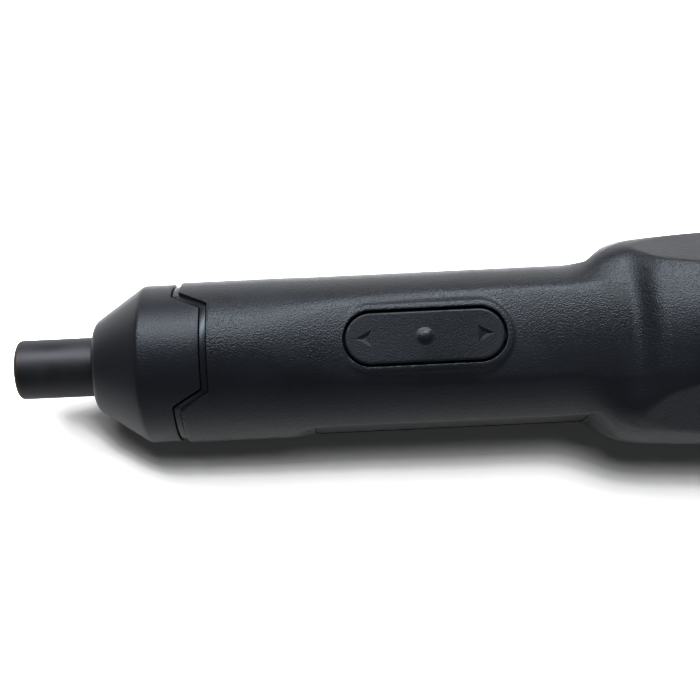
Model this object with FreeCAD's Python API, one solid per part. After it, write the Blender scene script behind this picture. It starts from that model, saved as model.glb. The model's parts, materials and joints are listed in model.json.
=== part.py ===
import FreeCAD, Part
import math
import os

# Cordless stick screwdriver, sizes in millimetres.
# X runs along the tool from the mouth of the bit holder (x = 0) to the tail.
# Z points out of the rocker button and Y across the tool.

V = FreeCAD.Vector
ORIGIN = V(0, 0, 0)
AXIS = V(1, 0, 0)
FAR = 40.0                  # well outside the tool, for cutting blocks

# Fits
RUN_FIT = 0.05              # radial, between pieces that turn in one another
PRESS_FIT = 0.02            # radial, between pieces pushed into one another
SEAT_FIT = 0.10             # per side, between pieces that rest in one another
END_PLAY = 0.25             # along the axis, between pieces that turn past each other

# Bit holder and spindle
BIT_HEX = 6.35              # across the flats of the bits it takes
BIT_EASE = 0.10
SOCKET_DEPTH = 12.5
HOLDER_D = 11.0
HOLDER_REACH = 14.7         # mouth to nose
MOUTH_CHAMFER = 0.6
MAGNET_D = 5.0
MAGNET_LENGTH = 2.0
SPINDLE_D = 8.0
DRIVE_HEX = 6.0
CLIP_THICKNESS = 0.7
CLIP_GROOVE = 0.6           # depth of the groove that holds the clip
CLIP_D = 11.0
CLIP_LAND = 0.8             # spindle left behind the groove

# Front bush
BUSH_WALL = 2.0
BUSH_LENGTH = 8.0
BUSH_FLANGE = 0.8
BUSH_FLANGE_THICKNESS = 1.0

# Two planetary stages with equal teeth
MODULE = 0.45
SUN_TEETH = 9
PLANET_TEETH = 15
PLANET_COUNT = 3
PRESSURE = math.radians(25.0)
ADDENDUM = 0.8              # in modules
DEDENDUM = 1.05             # in modules
BACKLASH = 0.12
FLANK_STEPS = 3
OUTPUT_FACE = 6.5           # face widths
INPUT_FACE = 4.5
OUTPUT_CARRIER_THICKNESS = 3.5
INPUT_CARRIER_THICKNESS = 2.5
CARRIER_RIM = 2.2           # carrier left outside the pins' circle
PLANET_PIN_D = 1.6
RING_WALL = 1.0
CASE_WALL = 1.3
BOSS_WALL = 1.6
THRUST_WASHER = 0.5
MOTOR_PLATE = 1.5
KEY_WIDTH = 5.0
KEY_REACH = 1.0
KEY_LENGTH = 1.5

# Nose cap and trim ring
NOSE_FACE_D = 16.4
NOSE_EDGE = 1.0             # rounding round the face
CONE_LENGTH = 9.5
RING_LENGTH = 5.7           # cone to rim, at the sides
TONGUE_LENGTH = 5.3
TONGUE_TIP = 14.8           # widths
TONGUE_ROOT = 20.2
NOSE_WALL = 2.6             # radial, in the cone
NOSE_FACE_WALL = 2.0
NOSE_STEP = 0.3             # nose under the body's radius
SPIGOT_WALL = 1.15
SPIGOT_REACH = 8.0          # spigot behind the tongue's notch
BEAD_RISE = 0.8
BEAD_WIDTH = 2.0
TRIM_WIDTH = 1.4
TRIM_DROP = 0.4

# Body
SHELL_WALL = 2.0
NECK_LENGTH = 69.7          # shell front to the start of the handle's swell
RELIEF_HEIGHT = 13.0        # axis to the thumb face beside the button
CROWN_RISE = 0.35           # middle of the thumb face over that
CROWN_R = 40.0
RELIEF_START = 53.7         # shell front to where the thumb face runs level
RELIEF_LENGTH = 26.8
LEAD_LENGTH = 40.0          # slow fall from the round body to the level stretch
LEAD_CROWN_R = 20.0
LEAD_STEP = 0.01            # lead-in under the body's skin where it starts
RAMP_RUN = 3.9
RAMP_RISE = 6.5
RELIEF_STEPS = 4            # sections along the lead-in, the widening and the ramp
RIDGE_R = 3.0               # rounding between the thumb face and the body
RIDGE_RUNOUT = 0.03         # the rounding leaves the body's skin by this much
REAR_FALL = 17.0            # slope beyond the ridges where the handle has swollen
FLAT_DEPTH = 0.9            # side flats under the body's radius
FLAT_START = 22.6
FLAT_LENGTH = 51.9
FLAT_LEAD = 3.6             # front ramp of the side flats
FLAT_RISE = 4.1             # rear ramp of the side flats
FLAT_RUN = 4.7
FACET_APOTHEM = 18.4
FACET_ANGLES = (50.0, 130.0, 230.0, 310.0)
REST_DEPTH = 1.5            # flat that the tool lies on, under the handle's widest place
FLARE_R = 12.0              # hollow curve where the neck swells into the handle
SHOULDER_R = 18.0
BELLY_R = 300.0
BELLY_AT = 36.9             # neck's end to the handle's widest place
BELLY_RISE = 5.0            # over the body's radius there
TAIL_R = 6.0                # rounding into the tail face

# Side plates
PLATE_THICKNESS = 0.6
PLATE_POCKET = 0.7
PLATE_HEIGHT = 9.4
PLATE_MARGIN = 0.8          # flat left at the plate's ends
PLATE_CHAMFER = 1.3
SIDE_WALL = 1.7             # shell left behind the plate

# Rocker button
BUTTON_AT = 43.9            # shell front to the button's middle
BUTTON_LENGTH = 28.4
BUTTON_WIDTH = 9.3
BUTTON_GAP = 0.45
BUTTON_THICKNESS = 2.4
BUTTON_BEVEL = 0.35
BUTTON_PROUD = 0.05         # over the lip
LIP_RISE = 0.7
LIP_LAND = 1.0
LIP_BEVEL = 1.2
ARROW_OFFSET = 10.2
ARROW_LENGTH = 2.4
ARROW_WIDTH = 3.2
ARROW_DEPTH = 0.35
DOT_D = 2.5
DOT_RISE = 0.45
HINGE_DROP = 2.85           # thumb face to hinge axis
HINGE_PIN_D = 1.2
EAR_GAP = 5.2               # between the button's two ears
EAR_THICKNESS = 1.6
EAR_WIDTH = 3.2
EAR_BELOW = 1.0
LUG_CLEARANCE = 1.2
LUG_THICKNESS = 1.8
LUG_WIDTH = 4.0
LUG_BELOW = 1.4
FOOT_OFFSET = 9.0
FOOT_D = 2.4
FOOT_LENGTH = 0.5

# Motor
MOTOR_D = 20.4
MOTOR_FLAT = 15.4
CAN_LENGTH = 26.0
CAN_WALL = 0.8
MOTOR_CAP_LENGTH = 4.0
MOTOR_BOSS_D = 7.0
MOTOR_BOSS_LENGTH = 1.3
MOTOR_BUSH_D = 5.2
MOTOR_BUSH_LENGTH = 2.8
MOTOR_SHAFT_D = 2.0
AIR_GAP = 0.68              # armature to magnets
ARMATURE_LENGTH = 15.0
ARMATURE_HUB_D = 4.8
POLE_COUNT = 3
POLE_TIP = 0.4              # armature left outside its slots
SLOT_MOUTH = 0.9
WINDING_OVERHANG = 1.3
MAGNET_WALL = 2.3
MAGNET_SPAN = 84.0          # degrees
MAGNET_ARC_LENGTH = 18.0
COMMUTATOR_D = 5.2
COMMUTATOR_LENGTH = 4.0
BRUSH_LENGTH = 3.0
BRUSH_WIDTH = 2.0
TERMINAL_OFFSET = 6.0
TERMINAL_WIDTH = 2.6
TERMINAL_THICKNESS = 0.5
TERMINAL_REACH = 3.5
MOTOR_SCREW_D = 2.0
MOTOR_SCREW_HEAD_D = 3.4
MOTOR_SCREW_CIRCLE = 11.6
MOTOR_SCREW_LENGTH = 3.6

# Switch board
BOARD_LENGTH = 35.0
BOARD_WIDTH = 10.0
BOARD_THICKNESS = 0.8
PAD_THICKNESS = 0.4
PAD_INSET = 0.8
SWITCH_SIDE = 4.2
SWITCH_HEIGHT = 1.2
STEM_D = 2.0
STEM_HEIGHT = 0.4
BOARD_POST_D = 4.4
BOARD_POST_INSET = 2.6
BOARD_SCREW_D = 1.6
BOARD_SCREW_HEAD_D = 3.0
BOARD_SCREW_HEAD = 0.9
BOARD_SCREW_LENGTH = 2.6

# Battery and charging board
WIRING_BAY = 20.0
CELL_D = 18.2
CELL_LENGTH = 65.0
CELL_CRIMP = 0.5
CELL_CAP_D = 8.0
CELL_CAP = 1.0
TAB_THICKNESS = 0.25
TAB_WIDTH = 7.0
TAB_LENGTH = 14.0
STOP_BORE_D = 12.0
CRADLE_SHARES = (0.08, 0.5, 0.92)
RIB = 1.6
CHARGE_BAY = 23.0
CHARGE_BOARD_WIDTH = 16.0
CHARGE_BOARD_THICKNESS = 1.0
RAIL_INSET = 0.6
USB_WIDTH = 8.94
USB_HEIGHT = 3.26
USB_LENGTH = 7.3
USB_WALL = 0.3
USB_RECESS = 0.6
USB_TONGUE_WIDTH = 6.7
USB_TONGUE_HEIGHT = 0.7
USB_TONGUE_REACH = 5.8
PORT_EASE = 0.35
LIGHT_D = 2.4
LIGHT_OFFSET = 7.6
LIGHT_LENGTH = 4.5

# Leads
LEAD_D = 1.1
LEAD_BEND = 0.9
LEAD_PITCH = 2.6            # between the two leads that run over the cell
LEAD_LIFT = 0.3             # over the cell
LEAD_SPREAD = 7.2           # between the two leads at the switch board
LEAD_SLOT = 4.0             # notch in the ribs

# Shell screws
SCREW_D = 2.2
SCREW_HEAD_D = 4.2
SCREW_HEAD = 1.6
SCREW_SEAT = 5.0            # split plane down to the head's seat
SCREW_GRIP = 5.0            # thread above the split plane
SCREW_BOSS_D = 4.8
SCREW_SLOT = 0.6
NECK_SCREW_AT = 57.2
NECK_SCREW_OFFSET = 9.4
TAIL_SCREW_FROM_TAIL = 15.5
TAIL_SCREW_OFFSET = 11.6

# Radii: the wider of gears and motor sets the body, and the pieces nest inwards from its skin
ring_teeth = SUN_TEETH + 2 * PLANET_TEETH
orbit_r = MODULE * (SUN_TEETH + PLANET_TEETH) / 2
ring_root_r = MODULE * (ring_teeth / 2 + DEDENDUM)
gears_need_r = ring_root_r + RING_WALL + RUN_FIT + CASE_WALL + SPIGOT_WALL + 2 * SEAT_FIT + SHELL_WALL
motor_needs_r = MOTOR_D / 2 + SEAT_FIT + SIDE_WALL + PLATE_POCKET + FLAT_DEPTH
body_r = max(gears_need_r, motor_needs_r)
shell_bore_r = body_r - SHELL_WALL
spigot_r = shell_bore_r - SEAT_FIT
spigot_bore_r = spigot_r - SPIGOT_WALL
case_r = spigot_bore_r - SEAT_FIT
case_bore_r = case_r - CASE_WALL
ring_r = case_bore_r - RUN_FIT
nose_r = body_r - NOSE_STEP
carrier_r = orbit_r + CARRIER_RIM
holder_r = HOLDER_D / 2
spindle_r = SPINDLE_D / 2
bush_r = spindle_r + BUSH_WALL
boss_r = bush_r + BOSS_WALL
magnet_r = MOTOR_D / 2 - CAN_WALL - PRESS_FIT
armature_r = magnet_r - MAGNET_WALL - AIR_GAP
slot_d = armature_r - POLE_TIP - ARMATURE_HUB_D / 2
slot_r = armature_r - POLE_TIP - slot_d / 2

# Stations along the axis, from the mouth to the tail
x_face = HOLDER_REACH
x_cone = x_face + CONE_LENGTH
x_rim = x_cone + RING_LENGTH
x_tongue = x_rim + TONGUE_LENGTH
x_notch = x_tongue + TRIM_WIDTH
x_spigot = x_notch + SPIGOT_REACH
x_shell = x_rim + TRIM_WIDTH
cone_slope = (nose_r - NOSE_FACE_D / 2) / CONE_LENGTH
x_case = x_face + (boss_r + END_PLAY + NOSE_WALL - NOSE_FACE_D / 2) / cone_slope
x_bush = x_case - BUSH_FLANGE_THICKNESS
x_shoulder = x_bush - END_PLAY
x_bush_end = x_case + BUSH_LENGTH
x_clip = x_bush_end + END_PLAY
x_drive = x_clip + CLIP_THICKNESS + CLIP_LAND
x_output = x_drive + OUTPUT_CARRIER_THICKNESS + END_PLAY
x_output_end = x_output + OUTPUT_FACE
x_first = x_output_end + END_PLAY
x_input = x_first + INPUT_CARRIER_THICKNESS + END_PLAY
x_input_end = x_input + INPUT_FACE
x_washer = x_input_end + END_PLAY
x_plate = x_washer + THRUST_WASHER
x_can = x_plate + MOTOR_PLATE
x_can_end = x_can + CAN_LENGTH
x_cap_end = x_can_end + MOTOR_CAP_LENGTH
x_cell = x_cap_end + WIRING_BAY
x_cell_end = x_cell + CELL_LENGTH
x_stop = x_cell_end + TAB_THICKNESS + SEAT_FIT
x_bay = x_stop + RIB
x_bay_end = x_bay + CHARGE_BAY
x_tail = x_bay_end + SHELL_WALL
x_neck = x_shell + NECK_LENGTH
x_button = x_shell + BUTTON_AT
handle_length = x_tail - x_neck

# Heights over the axis
flat_y = body_r - FLAT_DEPTH
roof_z = RELIEF_HEIGHT - SHELL_WALL
lip_z = RELIEF_HEIGHT + LIP_RISE
button_z = lip_z + BUTTON_PROUD
hinge_z = RELIEF_HEIGHT - HINGE_DROP
motor_top_z = MOTOR_FLAT / 2
board_z = motor_top_z + PAD_THICKNESS
board_top_z = board_z + BOARD_THICKNESS
x_board = x_button - BOARD_LENGTH / 2
x_board_end = x_board + BOARD_LENGTH
opening_length = BUTTON_LENGTH + 2 * BUTTON_GAP
opening_width = BUTTON_WIDTH + 2 * BUTTON_GAP
lug_y = EAR_GAP / 2 + EAR_THICKNESS + LUG_CLEARANCE
screw_spots = [(x_shell + NECK_SCREW_AT, side * NECK_SCREW_OFFSET) for side in (1, -1)]
screw_spots += [(x_tail - TAIL_SCREW_FROM_TAIL, side * TAIL_SCREW_OFFSET) for side in (1, -1)]


def rod(diameter, x0, x1, y=0.0, z=0.0):
    """Round bar along the tool."""
    return Part.makeCylinder(diameter / 2, x1 - x0, V(x0, y, z), AXIS)


def tube(outer_d, inner_d, x0, x1, y=0.0, z=0.0):
    return rod(outer_d, x0, x1, y, z).cut(rod(inner_d, x0 - 1, x1 + 1, y, z))


def post(diameter, x, y, z0, z1):
    """Round bar upright on the split plane."""
    return Part.makeCylinder(diameter / 2, z1 - z0, V(x, y, z0), V(0, 0, 1))


def cross_rod(diameter, x, z, y0, y1):
    """Round bar across the tool."""
    return Part.makeCylinder(diameter / 2, y1 - y0, V(x, y0, z), V(0, 1, 0))


def block(x0, x1, y0, y1, z0, z1):
    return Part.makeBox(x1 - x0, y1 - y0, z1 - z0, V(x0, y0, z0))


def outline_face(points):
    return Part.Face(Part.makePolygon(points + [points[0]]))


def turned(outline):
    """Solid of revolution from (x, radius) corners."""
    return outline_face([V(x, 0, r) for x, r in outline]).revolve(ORIGIN, AXIS, 360)


def hexagon(across, x0, x1):
    corner_r = across / math.sqrt(3)
    corners = [math.radians(60 * k) for k in range(6)]
    face = outline_face([V(x0, corner_r * math.cos(a), corner_r * math.sin(a)) for a in corners])
    return face.extrude(V(x1 - x0, 0, 0))


def pill_wire(length, width, x, z):
    """Slot outline round (x, 0) at height z."""
    half = (length - width) / 2
    r = width / 2
    right = Part.Arc(V(x + half, -r, z), V(x + half + r, 0, z), V(x + half, r, z)).toShape()
    left = Part.Arc(V(x - half, r, z), V(x - half - r, 0, z), V(x - half, -r, z)).toShape()
    far = Part.makeLine(V(x + half, r, z), V(x - half, r, z))
    near = Part.makeLine(V(x - half, -r, z), V(x + half, -r, z))
    return Part.Wire([right, far, left, near])


def pill(length, width, x, z0, z1, grow=0.0):
    """Upright slot-shaped block whose top is larger by grow on every side."""
    wires = [pill_wire(length, width, x, z0), pill_wire(length + 2 * grow, width + 2 * grow, x, z1)]
    return Part.makeLoft(wires, True, True)


def around(shape, count):
    """The shape repeated evenly round the tool's axis."""
    copies = []
    for k in range(count):
        copy = shape.copy()
        copy.rotate(ORIGIN, AXIS, 360.0 * k / count)
        copies.append(copy)
    return copies


def joined(first, *others):
    return first.multiFuse(list(others)).removeSplitter()


# Gears

def involute(angle):
    return math.tan(angle) - angle


def half_tooth(radius, teeth, thinning):
    """Half angle of a tooth at a radius; thinning is taken off its thickness."""
    base_r = MODULE * teeth / 2 * math.cos(PRESSURE)
    flank = math.acos(min(1.0, base_r / radius))
    return (math.pi / 2 - thinning / MODULE) / teeth + involute(PRESSURE) - involute(flank)


def gear(teeth, above, below, thinning, x0, x1):
    """Spur gear with a tooth on +Y; above and below are tooth heights in modules."""
    pitch_r = MODULE * teeth / 2
    base_r = pitch_r * math.cos(PRESSURE)
    tip_r = pitch_r + above * MODULE
    root_r = pitch_r - below * MODULE
    start_r = max(base_r, root_r)
    radii = [start_r + (tip_r - start_r) * k / FLANK_STEPS for k in range(FLANK_STEPS + 1)]
    if root_r < base_r:
        radii.insert(0, root_r)
    flank = [(-half_tooth(r, teeth, thinning), r) for r in radii]
    tooth = flank + [(-angle, r) for angle, r in reversed(flank)]
    points = []
    for k in range(teeth):
        turn = 2 * math.pi * k / teeth
        points += [V(x0, r * math.cos(a + turn), r * math.sin(a + turn)) for a, r in tooth]
    return outline_face(points).extrude(V(x1 - x0, 0, 0))


def sun(x0, x1):
    return gear(SUN_TEETH, ADDENDUM, DEDENDUM, BACKLASH / 2, x0, x1)


def planets(x0, x1):
    """Planet gears in mesh with a sun that has a tooth on +Y."""
    wheel = gear(PLANET_TEETH, ADDENDUM, DEDENDUM, BACKLASH / 2, x0, x1)
    wheel = wheel.cut(rod(PLANET_PIN_D + 2 * RUN_FIT, x0 - 1, x1 + 1))
    wheel.rotate(ORIGIN, AXIS, 180.0 - 180.0 / PLANET_TEETH)
    wheel.translate(V(0, orbit_r, 0))
    return around(wheel, PLANET_COUNT)


def planet_pins(x0, x1):
    return around(rod(PLANET_PIN_D, x0, x1, orbit_r), PLANET_COUNT)


def pin_holes(x0, x1):
    return around(rod(PLANET_PIN_D + 2 * PRESS_FIT, x0, x1, orbit_r), PLANET_COUNT)


# Outer form

def zigzag_zone(offset):
    """Everything in front of the nose's rear edge, moved back by offset."""
    slant_run = (TONGUE_ROOT - TONGUE_TIP) / 2
    slant = math.hypot(TONGUE_LENGTH, slant_run)
    widen = offset * (1 - slant_run / slant) * slant / TONGUE_LENGTH
    tip = TONGUE_TIP / 2 + widen
    root = TONGUE_ROOT / 2 + widen
    rim = x_rim + offset
    tongue = x_tongue + offset
    edge = [(-1, -FAR), (rim, -FAR), (rim, -root), (tongue, -tip),
            (tongue, tip), (rim, root), (rim, FAR), (-1, FAR)]
    return outline_face([V(x, y, -FAR) for x, y in edge]).extrude(V(0, 0, 2 * FAR))


def meeting_point(a, a_r, b, b_r):
    """Point at two given distances from a and b, in front of the line from a to b."""
    apart = (b - a).Length
    on = (b - a).normalize()
    along = (apart ** 2 + a_r ** 2 - b_r ** 2) / (2 * apart)
    return a + on * along + V(-on.z, 0, on.x) * math.sqrt(a_r ** 2 - along ** 2)


def barrel(inset, x_start):
    """Round body and swelling handle of tangent arcs, its skin moved in by inset."""
    flare = V(x_neck, 0, body_r + FLARE_R)
    belly = V(x_neck + BELLY_AT, 0, body_r + BELLY_RISE - BELLY_R)
    shoulder = meeting_point(flare, FLARE_R + SHOULDER_R, belly, BELLY_R - SHOULDER_R)
    x_corner = x_tail - TAIL_R
    tail = V(x_corner, 0, belly.z + math.sqrt((BELLY_R - TAIL_R) ** 2 - (x_corner - belly.x) ** 2))

    def arc(centre, start, end):
        reach = (start - centre).normalize() + (end - centre).normalize()
        return Part.Arc(start, centre + reach.normalize() * (start - centre).Length, end).toShape()

    front = V(x_start, 0, body_r - inset)
    neck = V(x_neck, 0, body_r - inset)
    slope = flare + (shoulder - flare).normalize() * (FLARE_R + inset)
    crest = belly + (shoulder - belly).normalize() * (BELLY_R - inset)
    rear = belly + (tail - belly).normalize() * (BELLY_R - inset)
    end = V(x_tail - inset, 0, tail.z)
    edges = [Part.makeLine(V(x_start, 0, 0), front), Part.makeLine(front, neck), arc(flare, neck, slope),
             arc(shoulder, slope, crest), arc(belly, crest, rear), arc(tail, rear, end),
             Part.makeLine(end, V(end.x, 0, 0)), Part.makeLine(V(end.x, 0, 0), V(x_start, 0, 0))]
    return Part.Face(Part.Wire(edges)).revolve(ORIGIN, AXIS, 360)


def relief_wire(x, inset, lead=0.0, spill=0.0, rise=0.0):
    """Outline of the thumb cut at one station: a crowned face whose ridges round over and run on down."""
    level = RELIEF_HEIGHT + CROWN_RISE
    crest = level + (body_r - LEAD_STEP - level) * lead ** 2
    crown_r = CROWN_R + (LEAD_CROWN_R - CROWN_R) * lead ** 2
    crown_z = crest - crown_r
    reach = crown_r - RIDGE_R
    skin = body_r - RIDGE_R + RIDGE_RUNOUT
    half = math.acos((skin ** 2 - reach ** 2 - crown_z ** 2) / (2 * reach * crown_z))
    centre_y = reach * math.sin(half)
    centre_z = crown_z + reach * math.cos(half)
    fall = math.atan2(centre_y, centre_z)
    fall += (math.radians(REAR_FALL) - fall) * spill
    r = RIDGE_R - inset

    def at(side, angle, beyond=0.0):
        y = centre_y + r * math.sin(angle) + beyond * math.cos(angle)
        z = centre_z + r * math.cos(angle) - beyond * math.sin(angle)
        return V(x, side * y, z + rise)

    left = at(-1, fall, FAR)
    right = at(1, fall, FAR)
    outside = [at(-1, fall), left, V(x, left.y, FAR), V(x, right.y, FAR), right, at(1, fall)]
    middle = (half + fall) / 2
    ridges = [Part.Arc(at(side, half), at(side, middle), at(side, fall)).toShape() for side in (-1, 1)]
    lines = [Part.makeLine(a, b) for a, b in zip(outside, outside[1:])]
    crown = Part.Arc(at(1, half), V(x, 0, crest - inset + rise), at(-1, half)).toShape()
    return Part.Wire([crown, ridges[0]] + lines + [ridges[1]])


def thumb_relief(inset):
    """What is taken off above the thumb face: slow lead-in, level stretch, widening and rear ramp."""
    level_from = x_shell + RELIEF_START
    level_to = level_from + RELIEF_LENGTH + inset
    shares = [k / RELIEF_STEPS for k in range(RELIEF_STEPS + 1)]
    lead = [relief_wire(level_from - LEAD_LENGTH * share, inset, lead=share) for share in shares]
    level = Part.Face(relief_wire(level_from, inset)).extrude(V(x_neck - level_from, 0, 0))
    widening = [relief_wire(x_neck + (level_to - x_neck) * share, inset, spill=share) for share in shares]
    ramp = []
    for share in shares:
        ramp.append(relief_wire(level_to + RAMP_RUN * share, inset, spill=1.0, rise=RAMP_RISE * share ** 2))
    return [Part.makeLoft(lead, True), level, Part.makeLoft(widening, True), Part.makeLoft(ramp, True)]


def side_relief(level, shift):
    """What is taken off outside the side flat on +Y; shift shortens it at both ends."""
    flat_from = x_shell + FLAT_START + shift
    flat_to = flat_from + FLAT_LENGTH
    lead = FLAT_DEPTH / FLAT_LEAD
    edge = [(flat_from - 2 * FLAT_LEAD, level + 2 * FLAT_LEAD * lead), (flat_from, level), (flat_to, level),
            (flat_to + 2 * FLAT_RUN, level + 2 * FLAT_RISE), (flat_to + 2 * FLAT_RUN, FAR),
            (flat_from - 2 * FLAT_LEAD, FAR)]
    return outline_face([V(x, y, -FAR) for x, y in edge]).extrude(V(0, 0, 2 * FAR))


def facet(angle, inset):
    """What is taken off outside one grip facet."""
    slab = block(x_neck, x_tail, -FAR, FAR, FACET_APOTHEM - inset, FAR)
    slab.rotate(ORIGIN, AXIS, angle)
    return slab


def rest_relief(inset):
    """What is taken off under the handle, so that the tool lies still on this flat and on the nose."""
    rest_z = body_r + BELLY_RISE - REST_DEPTH
    lean = math.atan2(rest_z - nose_r, x_neck + BELLY_AT - x_cone)
    front_z = inset / math.cos(lean) - nose_r - (x_neck - x_cone) * math.tan(lean)
    rear_z = front_z - handle_length * math.tan(lean)
    edge = [(x_neck, front_z), (x_tail, rear_z), (x_tail, -FAR), (x_neck, -FAR)]
    return outline_face([V(x, -FAR, z) for x, z in edge]).extrude(V(0, 2 * FAR, 0))


def mirrored(shape):
    return shape.mirror(ORIGIN, V(0, 1, 0))


def body_form(inset, side_inset, x_start):
    flat = side_relief(flat_y - side_inset, inset)
    cuts = thumb_relief(inset) + [flat, mirrored(flat), rest_relief(inset)]
    cuts += [facet(angle, inset) for angle in FACET_ANGLES]
    return barrel(inset, x_start).cut(cuts)


def motor_prism(grow, x0, x1):
    """Round motor with two flats, grown by a clearance."""
    flat = MOTOR_FLAT / 2 + grow
    return rod(MOTOR_D + 2 * grow, x0, x1).common(block(x0, x1, -FAR, FAR, -flat, flat))


def plate_prism(y0, y1, shrink):
    """Eight-sided side plate between two depths on +Y."""
    x0 = x_shell + FLAT_START + PLATE_MARGIN + shrink
    x1 = x_shell + FLAT_START + FLAT_LENGTH - PLATE_MARGIN - shrink
    top = PLATE_HEIGHT / 2 - shrink
    c = PLATE_CHAMFER
    edge = [(x0 + c, -top), (x1 - c, -top), (x1, c - top), (x1, top - c), (x1 - c, top), (x0 + c, top),
            (x0, top - c), (x0, c - top)]
    return outline_face([V(x, y0, z) for x, z in edge]).extrude(V(0, y1 - y0, 0))


# Shells

def rib(x0, x1, hole):
    return block(x0, x1, -FAR, FAR, -FAR, FAR).cut(hole)


def shared_ribs():
    """Ribs that both shells have, drawn right across the tool."""
    x_seat = x_plate - KEY_LENGTH
    key_slot = block(x_seat - 1, x_can, -case_r - KEY_REACH - SEAT_FIT, case_r + KEY_REACH + SEAT_FIT,
                     -KEY_WIDTH / 2 - SEAT_FIT, KEY_WIDTH / 2 + SEAT_FIT)
    seat = rib(x_seat, x_can, rod(2 * spigot_bore_r, x_seat - 1, x_can + 1).fuse(key_slot))
    stop = rib(x_can, x_can + RIB, motor_prism(SEAT_FIT, x_can - 1, x_can + RIB + 1))
    x_front_stop = x_cell - TAB_THICKNESS - SEAT_FIT - RIB
    stops = [rib(x, x + RIB, rod(STOP_BORE_D, x - 1, x + RIB + 1)) for x in (x_front_stop, x_stop)]
    cradles = []
    for share in CRADLE_SHARES:
        x = x_cell + share * CELL_LENGTH - RIB / 2
        cradles.append(rib(x, x + RIB, rod(CELL_D + 2 * SEAT_FIT, x - 1, x + RIB + 1)))
    return [seat, stop] + stops + cradles


def rails(z0, z1):
    """Two walls that hold the charging board's edges."""
    inner = CHARGE_BOARD_WIDTH / 2 - RIB
    wall = block(x_bay + RAIL_INSET, x_bay_end - RAIL_INSET, inner, inner + RIB, z0, z1)
    return [wall, mirrored(wall)]


def shell_half(upper):
    """One half of the housing with its ribs and screw bosses."""
    z0, z1 = (0.0, FAR) if upper else (-FAR, 0.0)
    half = block(-1, x_tail + 1, -FAR, FAR, z0, z1)
    board_half = CHARGE_BOARD_THICKNESS / 2 + PRESS_FIT
    over = CELL_D / 2
    side = LEAD_SLOT / 2
    notch = block(x_board_end, x_bay + 1, -side, side, over - LEAD_LIFT, over + side)
    fill = [piece.cut(notch) for piece in shared_ribs()]
    fill += [post(SCREW_BOSS_D, x, y, z0, z1) for x, y in screw_spots]
    fill += rails(board_half, FAR) if upper else rails(-FAR, -board_half)
    if upper:
        lug = block(x_button - LUG_WIDTH / 2, x_button + LUG_WIDTH / 2, lug_y, lug_y + LUG_THICKNESS,
                    hinge_z - LUG_BELOW, FAR)
        fill += [lug, mirrored(lug)]
        fill.append(post(BOARD_POST_D, x_board_end - BOARD_POST_INSET, 0, board_top_z, FAR))
    else:
        x = x_can_end - 2 * RIB
        fill.append(rib(x, x + RIB, motor_prism(SEAT_FIT, x - 1, x + RIB + 1)))
    hollow = body_form(SHELL_WALL, PLATE_POCKET + SIDE_WALL, x_shell - 1).cut(fill)
    form = body_form(0.0, 0.0, x_shell)
    if upper:
        form = form.fuse(button_lip())
    x_bead = x_notch + (SPIGOT_REACH - BEAD_WIDTH) / 2
    groove = rod(2 * (spigot_r + BEAD_RISE + SEAT_FIT), x_bead - SEAT_FIT, x_bead + BEAD_WIDTH + SEAT_FIT)
    pocket = plate_prism(flat_y - PLATE_POCKET, FAR, 0.0)
    cuts = [hollow, zigzag_zone(TRIM_WIDTH), groove, pocket, mirrored(pocket), port(), light_hole()]
    if upper:
        cuts.append(pill(opening_length, opening_width, x_button, roof_z - 1, FAR))
        cuts.append(cross_rod(HINGE_PIN_D + 2 * PRESS_FIT, x_button, hinge_z, -FAR / 4, FAR / 4))
        cuts.append(post(BOARD_SCREW_D + 2 * PRESS_FIT, x_board_end - BOARD_POST_INSET, 0, board_z,
                         board_z + BOARD_SCREW_LENGTH + SEAT_FIT))
        pilot_top = SCREW_GRIP + SEAT_FIT
        cuts += [post(SCREW_D + 2 * PRESS_FIT, x, y, -1, pilot_top) for x, y in screw_spots]
    else:
        cuts += [post(SCREW_D + 2 * SEAT_FIT, x, y, -FAR, 1) for x, y in screw_spots]
        cuts += [post(SCREW_HEAD_D + 2 * SEAT_FIT, x, y, -FAR, -SCREW_SEAT) for x, y in screw_spots]
    return form.common(half).cut(cuts)


def button_lip():
    """Raised rim round the button's opening, its foot sunk into the thumb face."""
    sink = LIP_RISE
    spread = LIP_LAND + LIP_BEVEL * (LIP_RISE + sink) / LIP_RISE
    length = opening_length + 2 * spread
    width = opening_width + 2 * spread
    return pill(length, width, x_button, RELIEF_HEIGHT - sink, lip_z, LIP_LAND - spread)


def rounded_bar(width, height, x0, x1):
    """Bar along the tool with half-round sides, as wide as a charging plug."""
    side = (width - height) / 2
    ends = [rod(height, x0, x1, y) for y in (-side, side)]
    return joined(block(x0, x1, -side, side, -height / 2, height / 2), *ends)


def port():
    return rounded_bar(USB_WIDTH + 2 * PORT_EASE, USB_HEIGHT + 2 * PORT_EASE, x_bay_end - RIB, x_tail + 1)


def light_hole():
    return rod(LIGHT_D + 2 * PRESS_FIT, x_tail - LIGHT_LENGTH, x_tail + 1, LIGHT_OFFSET)


def shell_screw(x, y):
    head = post(SCREW_HEAD_D, x, y, -SCREW_SEAT - SCREW_HEAD, -SCREW_SEAT)
    slots = [block(x - a, x + a, y - b, y + b, -SCREW_SEAT - SCREW_HEAD, -SCREW_SEAT - SCREW_HEAD / 2)
             for a, b in ((SCREW_SLOT / 2, SCREW_HEAD_D / 3), (SCREW_HEAD_D / 3, SCREW_SLOT / 2))]
    shank = post(SCREW_D, x, y, -SCREW_SEAT, SCREW_GRIP)
    return joined(head.cut(slots), shank)


# Nose

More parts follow.
